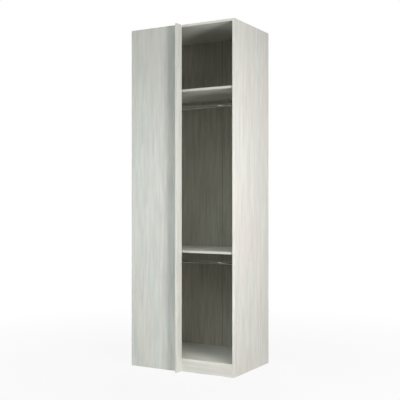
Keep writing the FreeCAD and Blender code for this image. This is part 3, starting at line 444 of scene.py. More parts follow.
def metal_material(name, main, polish, grit, grains):
    """A metal with slight clouds in its colour and its polish, and so many grains of grit in a metre."""
    surface = Surface(name, polish, metallic=1.0)
    clouds = surface.noise(METAL_CLOUDS, detail=3)
    worn = tinted(main, (METAL_WORN,) * 3)
    surface.set("Base Color", surface.mixed(surface.spread(clouds, *CLOUD_RANGE), main, worn))
    surface.set("Roughness", polish * (1 - METAL_SPREAD / 2) + clouds * (polish * METAL_SPREAD))
    surface.bump(surface.noise((grains,) * 3, detail=2), grit)
    return surface.material


def plastic_material(name, main, roughness):
    """Moulded plastic with a fine matt texture."""
    surface = Surface(name, roughness)
    fine = surface.noise(PLASTIC_GRAIN, detail=2)
    clouds = surface.spread(surface.noise(PLASTIC_CLOUDS, detail=2), *CLOUD_RANGE)
    lighter = tuple(min(1, value * PLASTIC_GAIN + PLASTIC_LIFT) for value in main)
    surface.set("Base Color", surface.mixed(clouds, main, lighter))
    surface.set("Roughness", roughness + fine * PLASTIC_SPREAD - PLASTIC_SPREAD / 2)
    surface.bump(fine, PLASTIC_RELIEF)
    return surface.material


# Modelling


def only(piece):
    """Makes the piece the only one selected, and the active one."""
    bpy.ops.object.select_all(action="DESELECT")
    piece.select_set(True)
    bpy.context.view_layer.objects.active = piece


@contextmanager
def shaping(piece):
    """Edit mode on the piece, and out of it at the end."""
    only(piece)
    bpy.ops.object.mode_set(mode="EDIT")
    yield
    bpy.ops.object.mode_set(mode="OBJECT")


def pick(kind, wanted):
    """Selects the faces or edges of the piece in edit mode that are wanted."""
    bpy.ops.mesh.select_mode(type=kind)
    bpy.ops.mesh.select_all(action="DESELECT")
    data = bpy.context.edit_object.data
    mesh = bmesh.from_edit_mesh(data)
    for item in mesh.faces if kind == "FACE" else mesh.edges:
        if wanted(item):
            item.select_set(True)
    mesh.select_flush_mode()
    bmesh.update_edit_mesh(data)


def facing(direction):
    """Faces that look in the direction."""
    return lambda face: face.normal.dot(direction) > FACING


def ends_at(edge, axis, place):
    """Whether both ends of an edge are at that place along the axis."""
    return all(abs(end.co[axis] - place) < NEAR for end in edge.verts)


def square_to(edge, axis):
    """Whether both ends of an edge are equally far along the axis."""
    return ends_at(edge, axis, edge.verts[0].co[axis])


def rings(heights, radii):
    """Edges of the circles round the upright axis at these heights, with these radii."""

    def wanted(edge):
        return any(
            ends_at(edge, UP, height) and all(abs(end.co.xy.length - radius) < 5 * NEAR for end in edge.verts)
            for height in heights for radius in radii
        )

    return wanted


def push(distance, direction=UPWARD):
    """Extrudes the selected faces."""
    bpy.ops.mesh.extrude_region_move(TRANSFORM_OT_translate={"value": direction * distance})


def round_over(radius, segments):
    """Rounds the selected edges."""
    bpy.ops.mesh.bevel(offset=radius, segments=segments, affect="EDGES")


def narrow(keep, height):
    """Draws the selected faces in towards the upright axis, to that share of their width."""
    bpy.ops.transform.resize(value=(keep, keep, 1), center_override=(0, 0, height))


def turned(name, radius, height, sides=ROUND, foot=(0, 0, 0)):
    """A round bar or prism that stands on the foot point."""
    bpy.ops.object.select_all(action="DESELECT")
    centre = Vector(foot) + UPWARD * height / 2
    bpy.ops.mesh.primitive_cylinder_add(vertices=sides, radius=radius, depth=height, location=centre)
    return settled(name)


def block(name, low, high):
    """A square block between two corners."""
    bpy.ops.object.select_all(action="DESELECT")
    low, high = Vector(low), Vector(high)
    bpy.ops.mesh.primitive_cube_add(size=1, location=(low + high) / 2, scale=high - low)
    return settled(name)


def settled(name):
    """Names the new piece and puts its place in its mesh."""
    piece = bpy.context.active_object
    piece.name = name
    bpy.ops.object.transform_apply(location=True, rotation=True, scale=True)
    return piece


def modify(piece, kind, **settings):
    """Adds a modifier with these settings and applies it."""
    modifier = piece.modifiers.new(kind.lower(), kind)
    for name, setting in settings.items():
        setattr(modifier, name, setting)
    only(piece)
    bpy.ops.object.modifier_apply(modifier=modifier.name)


def combine(piece, other, operation):
    """Adds the other piece to this one, or cuts it away, and removes it."""
    modify(piece, "BOOLEAN", operation=operation, solver="EXACT", object=other)
    bpy.data.objects.remove(other, do_unlink=True)


def soften(piece, radius):
    """Rounds the sharp edges of a piece."""
    modify(piece, "BEVEL", width=radius, segments=2, limit_method="ANGLE", angle_limit=SHARP_ANGLE)


def joined(pieces, name):
    """Several pieces as one object."""
    only(pieces[0])
    for piece in pieces:
        piece.select_set(True)
    if len(pieces) > 1:
        bpy.ops.object.join()
    pieces[0].name = name
    return pieces[0]


def standing(out, up, at):
    """The turn and place that bring a piece's upright axis to out and its Y axis to up."""
    turn = Matrix((up.cross(out), up, out)).transposed()
    return Matrix.Translation(at) @ turn.to_4x4()


def copies(pattern, places, name):
    """One object with a copy of the pattern at each place. The pattern is removed."""
    made = []
    for place in places:
        copy = pattern.copy()
        copy.data = pattern.data.copy()
        bpy.context.scene.collection.objects.link(copy)
        copy.data.transform(place)
        made.append(copy)
    bpy.data.objects.remove(pattern, do_unlink=True)
    return joined(made, name)


def fitted(piece, node, material):
    """Finishes a piece and puts it in the place of a node of the frame."""
    with shaping(piece):
        bpy.ops.mesh.select_all(action="SELECT")
        bpy.ops.mesh.normals_make_consistent(inside=False)
    bpy.ops.object.shade_smooth_by_angle(angle=SMOOTH_ANGLE)
    piece.data.name = piece.name
    piece.data.materials.clear()
    piece.data.materials.append(material)
    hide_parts(node)
    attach(piece, BODY_OF[node])


# Where the frame has its solids


def solids(node):
    """The points of each separate solid in a node of the frame."""
    mesh = bmesh.new()
    mesh.from_mesh(frame["nodes"][node].data)
    bmesh.ops.remove_doubles(mesh, verts=mesh.verts, dist=0.1 * NEAR)
    found = []
    waiting = set(mesh.verts)
    while waiting:
        reached = [waiting.pop()]
        for vertex in reached:
            for edge in vertex.link_edges:
                other = edge.other_vert(vertex)
                if other in waiting:
                    waiting.remove(other)
                    reached.append(other)
        found.append([vertex.co.copy() for vertex in reached])
    mesh.free()
    return sorted(found, key=lambda points: tuple(round(value, 5) for value in corners(points)[0]))


def corners(points):
    """The low and the high corner of the box round some points."""
    low = Vector(min(point[axis] for point in points) for axis in range(3))
    high = Vector(max(point[axis] for point in points) for axis in range(3))
    return low, high


def size_of(node):
    """The size of one of the solids in a node, where they are alike."""
    low, high = corners(solids(node)[-1])
    return high - low


def repeated(pattern, node, name, material, place):
    """Puts a copy of the pattern where each of a node's solids is.

    The place is worked out from the solid's low corner, high corner and centre.
    """
    found = [corners(points) for points in solids(node)]
    places = [place(low, high, (low + high) / 2) for low, high in found]
    fitted(copies(pattern, places, name), node, material)


def side_of(low, high):
    """Where a fitting on a side panel begins, across the wardrobe, and which way it goes from there."""
    return (low.x, 1) if low.x < 0 else (high.x, -1)


def screw_place(points):
    """The turn and place of a screw, from the top of its head."""
    low, high = corners(points)
    axis = max(range(3), key=lambda one: high[one] - low[one])

    def width_at(end):
        first, last = corners([point for point in points if abs(point[axis] - end[axis]) < 10 * NEAR])
        return (last - first).length

    end = high if width_at(high) > width_at(low) else low
    top = (low + high) / 2
    top[axis] = end[axis]
    return standing(AXES[axis] * (1 if end is high else -1), BACKWARD if axis == UP else UPWARD, top)


# Operators


class BoardFinish(bpy.types.Operator):
    """Gives the boards, bands, back sheets, dowels and bolts their materials"""

    bl_idname = "wardrobe.board_finish"
    bl_label = "Boards and bands"

    BOARDS = {
        "left_side_panel": (UP, ACROSS),
        "right_side_panel": (UP, ACROSS),
        "blind_front_panel": (UP, DEEP),
        "corner_post": (UP, ACROSS),
        "top_panel": (ACROSS, UP),
        "bottom_panel": (ACROSS, UP),
        "middle_shelf": (ACROSS, UP),
        "upper_shelf": (ACROSS, UP),
        "front_plinth": (ACROSS, DEEP),
        "rear_plinth": (ACROSS, DEEP),
    }
    UPRIGHT_BANDS = ("left_side_edge_band", "right_side_edge_band", "post_edge_band", "blind_panel_edge_band")
    LYING_BANDS = ("top_edge_band", "bottom_edge_band")
    SHELF_BANDS = ("middle_shelf_edge_band", "upper_shelf_edge_band")
    SHEETS = ("back_sheet_left", "back_sheet_right", "back_joint_strip")

    def execute(self, context):
        boards = context.scene.wardrobe_boards
        steel = context.scene.wardrobe_fittings.steel
        finishes = {node: board_material(boards, node, *axes) for node, axes in self.BOARDS.items()}
        # The two shelf bands take the darker band colour, which is painted shade for the inside of the
        # opening
        for nodes, grain, main in (
            (self.UPRIGHT_BANDS, UP, boards.band),
            (self.LYING_BANDS, ACROSS, boards.band),
            (self.SHELF_BANDS, ACROSS, boards.shelf_band_painted_shade),
        ):
            finishes.update({node: band_material(boards, node, grain, main) for node in nodes})
        finishes.update({node: sheet_material(boards, node) for node in self.SHEETS})
        finishes["wooden_dowels"] = beech_material(boards, roughness=0.6)
        finishes["cam_bolts"] = metal_material(
            "cam_bolt_plate", steel, polish=0.34, grit=0.01 * MM, grains=1200
        )
        for node, material in finishes.items():
            frame["nodes"][node].data.materials[0] = material
        return {"FINISHED"}


class HangingRails(bpy.types.Operator):
    """Draws the two chrome tubes that clothes hang from"""

    bl_idname = "wardrobe.hanging_rails"
    bl_label = "Hanging rails"

    def tube(self, fittings, name, radius, span):
        """An upright tube with rounded rims, and a loop by each rim to keep its long wall evenly shaded."""
        tube = turned(name, radius, span, TUBE_ROUND)
        with shaping(tube):
            pick("FACE", lambda face: abs(face.normal.z) > FACING)
            bpy.ops.mesh.inset(thickness=fittings.tube_wall)
            bpy.ops.mesh.delete(type="ONLY_FACE")
            pick("EDGE", lambda edge: edge.is_boundary)
            bpy.ops.mesh.bridge_edge_loops()
            pick("EDGE", rings([0, span], [radius, radius - fittings.tube_wall]))
            round_over(fittings.tube_rim, 2)
            for height in (2 * fittings.tube_rim, span - 2 * fittings.tube_rim):
                bpy.ops.mesh.select_all(action="SELECT")
                bpy.ops.mesh.bisect(plane_co=(0, 0, height), plane_no=UPWARD)
        return tube

    def execute(self, context):
        fittings = context.scene.wardrobe_fittings
        chrome = metal_material(
            "rail_chrome_polished", fittings.chrome, polish=0.03, grit=0.0005 * MM, grains=900
        )
        for level in LEVELS:
            node = f"{level}_hanging_rail"
            low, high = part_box(node)
            tube = self.tube(fittings, f"{level}_rail_tube", (high.y - low.y) / 2, high.x - low.x)
            left_end = (low.x, (low.y + high.y) / 2, (low.z + high.z) / 2)
            tube.data.transform(standing(RIGHTWARD, UPWARD, left_end))
            fitted(tube, node, chrome)
        return {"FINISHED"}


class RailSockets(bpy.types.Operator):
    """Models the flanged sockets that hold the ends of the rails"""

    bl_idname = "wardrobe.rail_sockets"
    bl_label = "Rail sockets"

    RING_ROUNDING = 0.6 * MM

    def socket(self, fittings, flange_radius, reach):
        """A socket that lies on its flange, with its ring open at the top."""
        socket = turned("socket", flange_radius, fittings.flange)
        with shaping(socket):
            pick("FACE", facing(UPWARD))
            bpy.ops.mesh.inset(thickness=flange_radius - fittings.ring_radius)
            push(reach - fittings.flange)
            bpy.ops.mesh.inset(thickness=fittings.ring_wall)
            push(fittings.flange - reach)
            pick("EDGE", rings([fittings.flange], [flange_radius]))
            round_over(fittings.flange_rim, 5)
            pick("EDGE", rings([reach], [fittings.ring_radius, fittings.ring_radius - fittings.ring_wall]))
            round_over(self.RING_ROUNDING, 3)
        return socket

    def place(self, low, high, centre):
        start, way = side_of(low, high)
        return standing(way * RIGHTWARD, UPWARD, (start, centre.y, centre.z))

    def execute(self, context):
        fittings = context.scene.wardrobe_fittings
        chrome = metal_material("socket_chrome", fittings.chrome, polish=0.1, grit=0.003 * MM, grains=900)
        for level in LEVELS:
            node = f"{level}_rail_sockets"
            reach, width, _ = size_of(node)
            socket = self.socket(fittings, width / 2, reach)
            repeated(socket, node, f"{level}_rail_end_sockets", chrome, self.place)
        return {"FINISHED"}


class Screws(bpy.types.Operator):
    """Models the pan head screws with a cross recess and sets them where the frame has them"""

    bl_idname = "wardrobe.screws"
    bl_label = "Screws"

    GROUPS = (
        "rail_socket_screws", "blind_angle_screws", "wall_angle_screws", "foot_bracket_screws",
        "back_sheet_screws",
    )
    HEAD_ROUNDING = 1.4 * MM
    POINT_LENGTH = 3 * MM
    POINT_SHARE = 0.12
    RECESS_DEPTH = 1.3 * MM

    def screw(self, fittings, head_radius, full_length):
        """A screw that hangs from the top of its head."""
        head = fittings.head_height
        screw = turned("screw", head_radius, head, SMALL_ROUND, (0, 0, -head))
        with shaping(screw):
            pick("EDGE", rings([0], [head_radius]))
            round_over(self.HEAD_ROUNDING, 5)
            pick("FACE", facing(-UPWARD))
            bpy.ops.mesh.inset(thickness=head_radius - fittings.shank_radius)
            push(-(full_length - head - self.POINT_LENGTH))
            push(-self.POINT_LENGTH)
            narrow(self.POINT_SHARE, -full_length)
        combine(screw, self.cross(fittings.recess_width / 2, fittings.recess / 2), "DIFFERENCE")
        return screw

    def cross(self, arm, reach):
        """The cross that cuts the recess, from half the width of its arms and half its own."""
        cross = block("cross", (-arm, -arm, -self.RECESS_DEPTH), (arm, arm, self.RECESS_DEPTH))
        with shaping(cross):
            for direction in (RIGHTWARD, -RIGHTWARD, BACKWARD, -BACKWARD):

                def in_middle(face):
                    return abs(face.calc_center_median().cross(direction).z) < arm

                pick("FACE", lambda face: facing(direction)(face) and in_middle(face))
                push(reach - arm, direction)
        return cross

    def execute(self, context):
        fittings = context.scene.wardrobe_fittings
        plated = metal_material("screw_zinc_plate", fittings.steel, **PLATED)
        for node in self.GROUPS:
            width, _, full_length = sorted(size_of(node))
            screw = self.screw(fittings, width / 2, full_length)
            places = [screw_place(points) for points in solids(node)]
            fitted(copies(screw, places, f"{node}_cross_head"), node, plated)
        return {"FINISHED"}


class ShelfPins(bpy.types.Operator):
    """Models the pins that carry the upper shelf, each with a flat under the shelf"""

    bl_idname = "wardrobe.shelf_pins"
    bl_label = "Shelf pins"

    PEG_RADIUS = 2.5 * MM
    HEAD_ROUNDING, PEG_ROUNDING = 0.8 * MM, 0.5 * MM

    def pin(self, head_radius, reach, flat):
        """A pin that stands on a side panel's face, with its peg below and its flat towards Y."""
        pin = turned("pin", head_radius, reach)
        with shaping(pin):
            pick("EDGE", rings([reach], [head_radius]))
            round_over(self.HEAD_ROUNDING, 4)
            pick("FACE", facing(-UPWARD))
            bpy.ops.mesh.inset(thickness=head_radius - self.PEG_RADIUS)
            push(-reach)
            pick("EDGE", rings([-reach], [self.PEG_RADIUS]))
            round_over(self.PEG_ROUNDING, 2)
            bpy.ops.mesh.select_all(action="SELECT")
            bpy.ops.mesh.bisect(plane_co=(0, flat, 0), plane_no=BACKWARD, clear_outer=True, use_fill=True)
        return pin

    def execute(self, context):
        plated = metal_material("pin_zinc_plate", context.scene.wardrobe_fittings.steel, **PLATED)
        span, width, height = size_of("shelf_pins")
        head_radius = width / 2

        def place(low, high, centre):
            _, way = side_of(low, high)
            return standing(way * RIGHTWARD, UPWARD, (centre.x, centre.y, low.z + head_radius))

        pin = self.pin(head_radius, span / 2, height - head_radius)
        repeated(pin, "shelf_pins", "shelf_pins_turned", plated, place)
        return {"FINISHED"}


class CoverCaps(bpy.types.Operator):
    """Models the caps over the cams and in the access holes of the feet"""

    bl_idname = "wardrobe.cover_caps"
    bl_label = "Cover caps"

    THICK = 1.2 * MM
    ROUNDING = 0.8 * MM
    RIM, DISH = 1.2 * MM, 0.25 * MM
    PLUG_RADIUS, PLUG_SHARE = 5.8 * MM, 0.92

    def cap(self, radius, plug_length=0):
        """A cap that lies on the face it covers, with a shallow dish in its top and any plug below."""
        cap = turned("cap", radius, self.THICK)
        with shaping(cap):
            pick("EDGE", rings([self.THICK], [radius]))
            round_over(self.ROUNDING, 5)
            pick("FACE", facing(UPWARD))
            bpy.ops.mesh.inset(thickness=self.RIM)
            push(-self.DISH)
            if plug_length:
                pick("FACE", facing(-UPWARD))
                bpy.ops.mesh.inset(thickness=radius - self.PLUG_RADIUS)
                push(-plug_length)
                narrow(self.PLUG_SHARE, -plug_length)
        return cap

    def execute(self, context):
        light = plastic_material("cap_plastic", context.scene.wardrobe_fittings.light, roughness=0.45)
        radius = size_of("cam_caps").x / 2
        repeated(self.cap(radius), "cam_caps", "cam_cover_caps", light, self.place_on_cam)
        cap = self.cap(radius, size_of("access_caps").z - self.THICK)
        repeated(cap, "access_caps", "foot_access_caps", light, self.place_in_hole)
        return {"FINISHED"}

    def place_on_cam(self, low, high, centre):
        if high.y - low.y < high.z - low.z:
            return standing(BACKWARD, UPWARD, (centre.x, low.y, centre.z))
        return standing(-UPWARD, BACKWARD, (centre.x, centre.y, high.z))

    def place_in_hole(self, low, high, centre):
        return standing(UPWARD, BACKWARD, (centre.x, centre.y, high.z - self.THICK))


class Cams(bpy.types.Operator):
    """Models the cams that draw the boards together"""

    bl_idname = "wardrobe.cams"
    bl_label = "Cams"

    ROUNDING = 0.5 * MM
    RIM, DISH = 0.8 * MM, 0.3 * MM
    SLOT_LONG, SLOT_SHORT, SLOT_WIDE, SLOT_DEEP = 4.5 * MM, 3 * MM, 0.9 * MM, 2.2 * MM
    MOUTH = (Vector((-4, -3.5, 0.5)) * MM, Vector((4, 9, 8.5)) * MM)

    def cam(self, radius, height):
        """A cam with its driver slots on top at the origin and its mouth towards Y."""
        cam = turned("cam", radius, height, foot=(0, 0, -height))
        with shaping(cam):
            pick("EDGE", rings([0, -height], [radius]))
            round_over(self.ROUNDING, 3)
            pick("FACE", facing(UPWARD))
            bpy.ops.mesh.inset(thickness=self.RIM)
            push(-self.DISH)
        for x, y in ((self.SLOT_LONG, self.SLOT_WIDE), (self.SLOT_WIDE, self.SLOT_SHORT)):
            combine(cam, block("slot", (-x, -y, -self.SLOT_DEEP), (x, y, self.SLOT_DEEP)), "DIFFERENCE")
        combine(cam, block("mouth", *(corner - UPWARD * height for corner in self.MOUTH)), "DIFFERENCE")
        return cam

    def execute(self, context):
        zinc = context.scene.wardrobe_fittings.zinc
        cast = metal_material("cam_zinc_cast", zinc, polish=0.42, grit=0.02 * MM, grains=1400)
        top_of_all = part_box("top_panel")[1].z
        width, _, thick = size_of("cam_locks")

        def in_board(low, high, centre):
            out, height = (1, high.z) if abs(high.z - top_of_all) < MM else (-1, low.z)
            toward_side = RIGHTWARD if centre.x > 0 else -RIGHTWARD
            return standing(out * UPWARD, toward_side, (centre.x, centre.y, height))

        def in_blind_panel(low, high, centre):
            return standing(BACKWARD, RIGHTWARD, (centre.x, high.y, centre.z))

        for node, place in (("cam_locks", in_board), ("blind_panel_cam_locks", in_blind_panel)):
            repeated(self.cam(width / 2, thick), node, f"{node}_cast", cast, place)
        return {"FINISHED"}


class AngleBrackets(bpy.types.Operator):
    """Models the bent steel angles of the blind panel and the wall"""

    bl_idname = "wardrobe.angle_brackets"
    bl_label = "Angle brackets"

    EDGE_ROUNDING = 0.2 * MM
    HOLE_PLACE, HOLE_APART = 19 * MM, 12 * MM
    SCREW_HOLE, WALL_HOLE = 2.15 * MM, 3 * MM

    def angle(self, fittings, leg, width, holes):
        """An angle with its corner at the origin and its legs along X and Y.

        Each hole is the leg's axis, its place across the leg and its radius.
        """
        half, sheet = width / 2, fittings.sheet
        angle = block("angle", (0, 0, -half), (leg, sheet, half))

        def at_tip(edge):
            on_side = ends_at(edge, UP, half) or ends_at(edge, UP, -half)
            return on_side and (ends_at(edge, ACROSS, leg) or ends_at(edge, DEEP, leg))

        with shaping(angle):
            bpy.ops.mesh.select_all(action="SELECT")
            bpy.ops.mesh.bisect(plane_co=(sheet, 0, 0), plane_no=RIGHTWARD)
            pick("FACE", lambda face: facing(BACKWARD)(face) and face.calc_center_median().x < sheet)
            push(leg - sheet, BACKWARD)
            pick("EDGE", lambda edge: ends_at(edge, ACROSS, 0) and ends_at(edge, DEEP, 0))
            round_over(fittings.sheet_bend, 6)
            pick("EDGE", at_tip)
            round_over(fittings.sheet_corner, 5)
        for axis, across, radius in holes:
            drill = turned("drill", radius, 4 * sheet, SMALL_ROUND, (0, 0, -2 * sheet))
            place = Vector((0, 0, across))
            place[axis] = self.HOLE_PLACE
            drill.data.transform(standing(AXES[1 - axis], UPWARD, place))
            combine(angle, drill, "DIFFERENCE")
        soften(angle, self.EDGE_ROUNDING)
        return angle

    def execute(self, context):
        fittings = context.scene.wardrobe_fittings
        plated = metal_material("angle_zinc_plate", fittings.steel, polish=0.33, grit=0.006 * MM, grains=1100)
        width, _, leg = sorted(size_of("blind_panel_angles"))
        angle = self.angle(fittings, leg, width, [(axis, 0, self.SCREW_HOLE) for axis in (ACROSS, DEEP)])
        repeated(angle, "blind_panel_angles", "blind_panel_angles_bent", plated, self.place_on_blind_panel)
        leg, _, width = size_of("wall_angles")
        holes = [(DEEP, way * self.HOLE_APART, self.SCREW_HOLE) for way in (-1, 1)]
        angle = self.angle(fittings, leg, width, [*holes, (ACROSS, 0, self.WALL_HOLE)])
        repeated(angle, "wall_angles", "wall_angles_bent", plated, self.place_on_wall)
        return {"FINISHED"}

    def place_on_blind_panel(self, low, high, centre):
        """Against the left side, or under the top panel or over the bottom panel."""
        if high.z - low.z == min(high - low):
            return standing(UPWARD, BACKWARD, (low.x, low.y, centre.z))
        way, height = (1, low.z) if centre.z < cad_bounds[1][UP] / 2 else (-1, high.z)
        return standing(way * RIGHTWARD, way * UPWARD, (centre.x, low.y, height))

    def place_on_wall(self, low, high, centre):
        start, way = side_of(low, high)
        return standing(-way * UPWARD, -BACKWARD, (start, high.y, centre.z))


class FootBrackets(bpy.types.Operator):
    """Models the ribbed plastic brackets that carry the levelling feet"""

    bl_idname = "wardrobe.foot_brackets"
    bl_label = "Foot brackets"

    PLATE, PLATE_CORNER = 4 * MM, 4 * MM
    BOSS_RADIUS, BOSS_HEIGHT = 10 * MM, 18 * MM
    RIB_HALF, RIB_DROP, RIB_GAP, RIB_LIFT = 1.5 * MM, 4 * MM, 2 * MM, 1 * MM
    BORE_RADIUS, BORE_LENGTH, BORE_FOOT = 5.3 * MM, 40 * MM, -10 * MM
    EDGE_ROUNDING = 0.5 * MM

    def bracket(self, reach, width, height):
        """A bracket against the plane X = 0 that reaches towards +X, with the spindle's axis at Y = 0."""
        bracket = block("bracket", (0, -width / 2, 0), (self.PLATE, width / 2, height))
        with shaping(bracket):
            pick("EDGE", lambda edge: ends_at(edge, UP, height) and square_to(edge, DEEP))
            round_over(self.PLATE_CORNER, 5)
        boss, boss_top = self.BOSS_RADIUS, self.BOSS_HEIGHT
        axis, inside = reach - boss, self.PLATE / 2
        combine(bracket, block("arm", (inside, -boss, 0), (axis, boss, boss_top)), "UNION")
        combine(bracket, turned("boss", boss, boss_top, foot=(axis, 0, 0)), "UNION")
        for side in (-boss, boss):
            combine(bracket, self.rib(inside, axis - self.RIB_GAP, side, height - self.RIB_DROP), "UNION")
        bore = turned("bore", self.BORE_RADIUS, self.BORE_LENGTH, SMALL_ROUND, (axis, 0, self.BORE_FOOT))
        combine(bracket, bore, "DIFFERENCE")
        soften(bracket, self.EDGE_ROUNDING)
        return bracket

    def rib(self, start, end, side, top):
        """A rib on one side of the arm that slopes down from the plate to just over the arm."""
        low = (start, side - self.RIB_HALF, self.BOSS_HEIGHT / 2)
        rib = block("rib", low, (end, side + self.RIB_HALF, top))
        with shaping(rib):
            pick("EDGE", lambda edge: ends_at(edge, ACROSS, end) and ends_at(edge, UP, top))
            bpy.ops.transform.translate(value=(0, 0, self.BOSS_HEIGHT + self.RIB_LIFT - top))
        return rib

    def execute(self, context):
        black = plastic_material("bracket_plastic", context.scene.wardrobe_fittings.black, roughness=0.5)
        bracket = self.bracket(*size_of("foot_brackets"))
        repeated(bracket, "foot_brackets", "foot_brackets_ribbed", black, self.place)
        return {"FINISHED"}

    def place(self, low, high, centre):
        start, way = side_of(low, high)
        return standing(UPWARD, way * BACKWARD, (start, centre.y, low.z))


class LevellingFeet(bpy.types.Operator):
    """Models the four threaded spindles and their pads"""

    bl_idname = "wardrobe.levelling_feet"
    bl_label = "Levelling feet"

    THREAD_RADIUS, THREAD_STEPS = 5 * MM, 24
    THREAD_FOOT, THREAD_TOP = 1.5 * MM, 2.5 * MM
    RIDGE_DEPTH, RIDGE_HALF = 1.2, 0.46
    ROD_ROUNDING = 1 * MM
    SOCKET_HALF, SOCKET_DEPTH = 2.5 * MM, 5 * MM
    NUT_FOOT, NUT_TOP, NUT_ROUNDING = 8 * MM, 13 * MM, 0.6 * MM
    PAD_COLLAR, PAD_DISH, PAD_ROUNDING = 3 * MM, 1.2 * MM, 0.8 * MM

    def thread(self, fittings, low, high):
        """A closed ridge that climbs round the spindle."""
        pitch = fittings.thread_pitch
        root, half = self.THREAD_RADIUS - fittings.thread_depth * self.RIDGE_DEPTH, pitch * self.RIDGE_HALF
        bpy.ops.object.select_all(action="DESELECT")
        bpy.ops.mesh.primitive_circle_add(vertices=3, radius=1, fill_type="NOTHING")
        ridge = settled("ridge")
        outline = [(self.THREAD_RADIUS, low), (root, low + half), (root, low - half)]
        for vertex, (out, height) in zip(ridge.data.vertices, outline):
            vertex.co = (out, 0, height)
        modify(
            ridge, "SCREW", axis="Z", angle=math.tau, screw_offset=pitch,
            iterations=math.floor((high - low) / pitch), steps=self.THREAD_STEPS,
            render_steps=self.THREAD_STEPS, use_normal_calculate=True, use_merge_vertices=False,
        )
        with shaping(ridge):
            pick("EDGE", lambda edge: edge.is_boundary)
            bpy.ops.mesh.edge_face_add()
        return ridge

    def hexagon(self, name, half, low, high):
        """A hexagonal bar with that much from its axis to each flat."""
        return turned(name, half / math.cos(math.pi / HEXAGON), high - low, HEXAGON, (0, 0, low))

    def spindle(self, fittings, top, foot, nut_half):
        """A spindle on the upright axis, with a hexagon socket in its top and a nut at its foot."""
        core = self.THREAD_RADIUS - fittings.thread_depth
        rod = turned("rod", core, top - foot, ROD_ROUND, (0, 0, foot))
        with shaping(rod):
            pick("EDGE", rings([top], [core]))
            round_over(self.ROD_ROUNDING, 2)
        key = self.hexagon("key", self.SOCKET_HALF, top - self.SOCKET_DEPTH, top + self.SOCKET_DEPTH)
        combine(rod, key, "DIFFERENCE")
        nut = self.hexagon("nut", nut_half, self.NUT_FOOT, self.NUT_TOP)
        with shaping(nut):
            pick("EDGE", lambda edge: square_to(edge, UP))
            round_over(self.NUT_ROUNDING, 2)
        ridge = self.thread(fittings, self.NUT_TOP + self.THREAD_FOOT, top - self.THREAD_TOP)
        return joined([rod, nut, ridge], "spindle")

    def pad(self, fittings, radius, height):
        """A pad on the floor with a rounded shoulder and a dish inside its collar."""
        pad = turned("pad", radius, height)
        with shaping(pad):
            pick("EDGE", rings([height], [radius]))
            round_over(fittings.pad_rim, 8)
            pick("FACE", facing(UPWARD))
            bpy.ops.mesh.inset(thickness=self.PAD_COLLAR)
            push(-self.PAD_DISH)
            pick("EDGE", rings([0], [radius]))
            round_over(self.PAD_ROUNDING, 3)
        return pad

    def execute(self, context):
        fittings = context.scene.wardrobe_fittings
        plated = metal_material("spindle_zinc_plate", fittings.steel, **PLATED)
        black = plastic_material("pad_plastic", fittings.black, roughness=0.55)
        for foot in FEET:
            node = f"levelling_spindle_{foot}"
            low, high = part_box(node)
            axis = [Matrix.Translation(((low.x + high.x) / 2, (low.y + high.y) / 2, 0))]
            spindle = self.spindle(fittings, high.z, low.z, (high.x - low.x) / 2)
            fitted(copies(spindle, axis, f"threaded_spindle_{foot}"), node, plated)
            node = f"levelling_pad_{foot}"
            low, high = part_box(node)
            pad = self.pad(fittings, (high.x - low.x) / 2, high.z - low.z)
            fitted(copies(pad, axis, f"moulded_pad_{foot}"), node, black)
        return {"FINISHED"}


class Lamp(NamedTuple):
    """Where a soft lamp stands and what it looks at, its size, its beam in degrees and its tint."""

    place: tuple
    target: tuple
    size: tuple
    beam: float
    tint: tuple


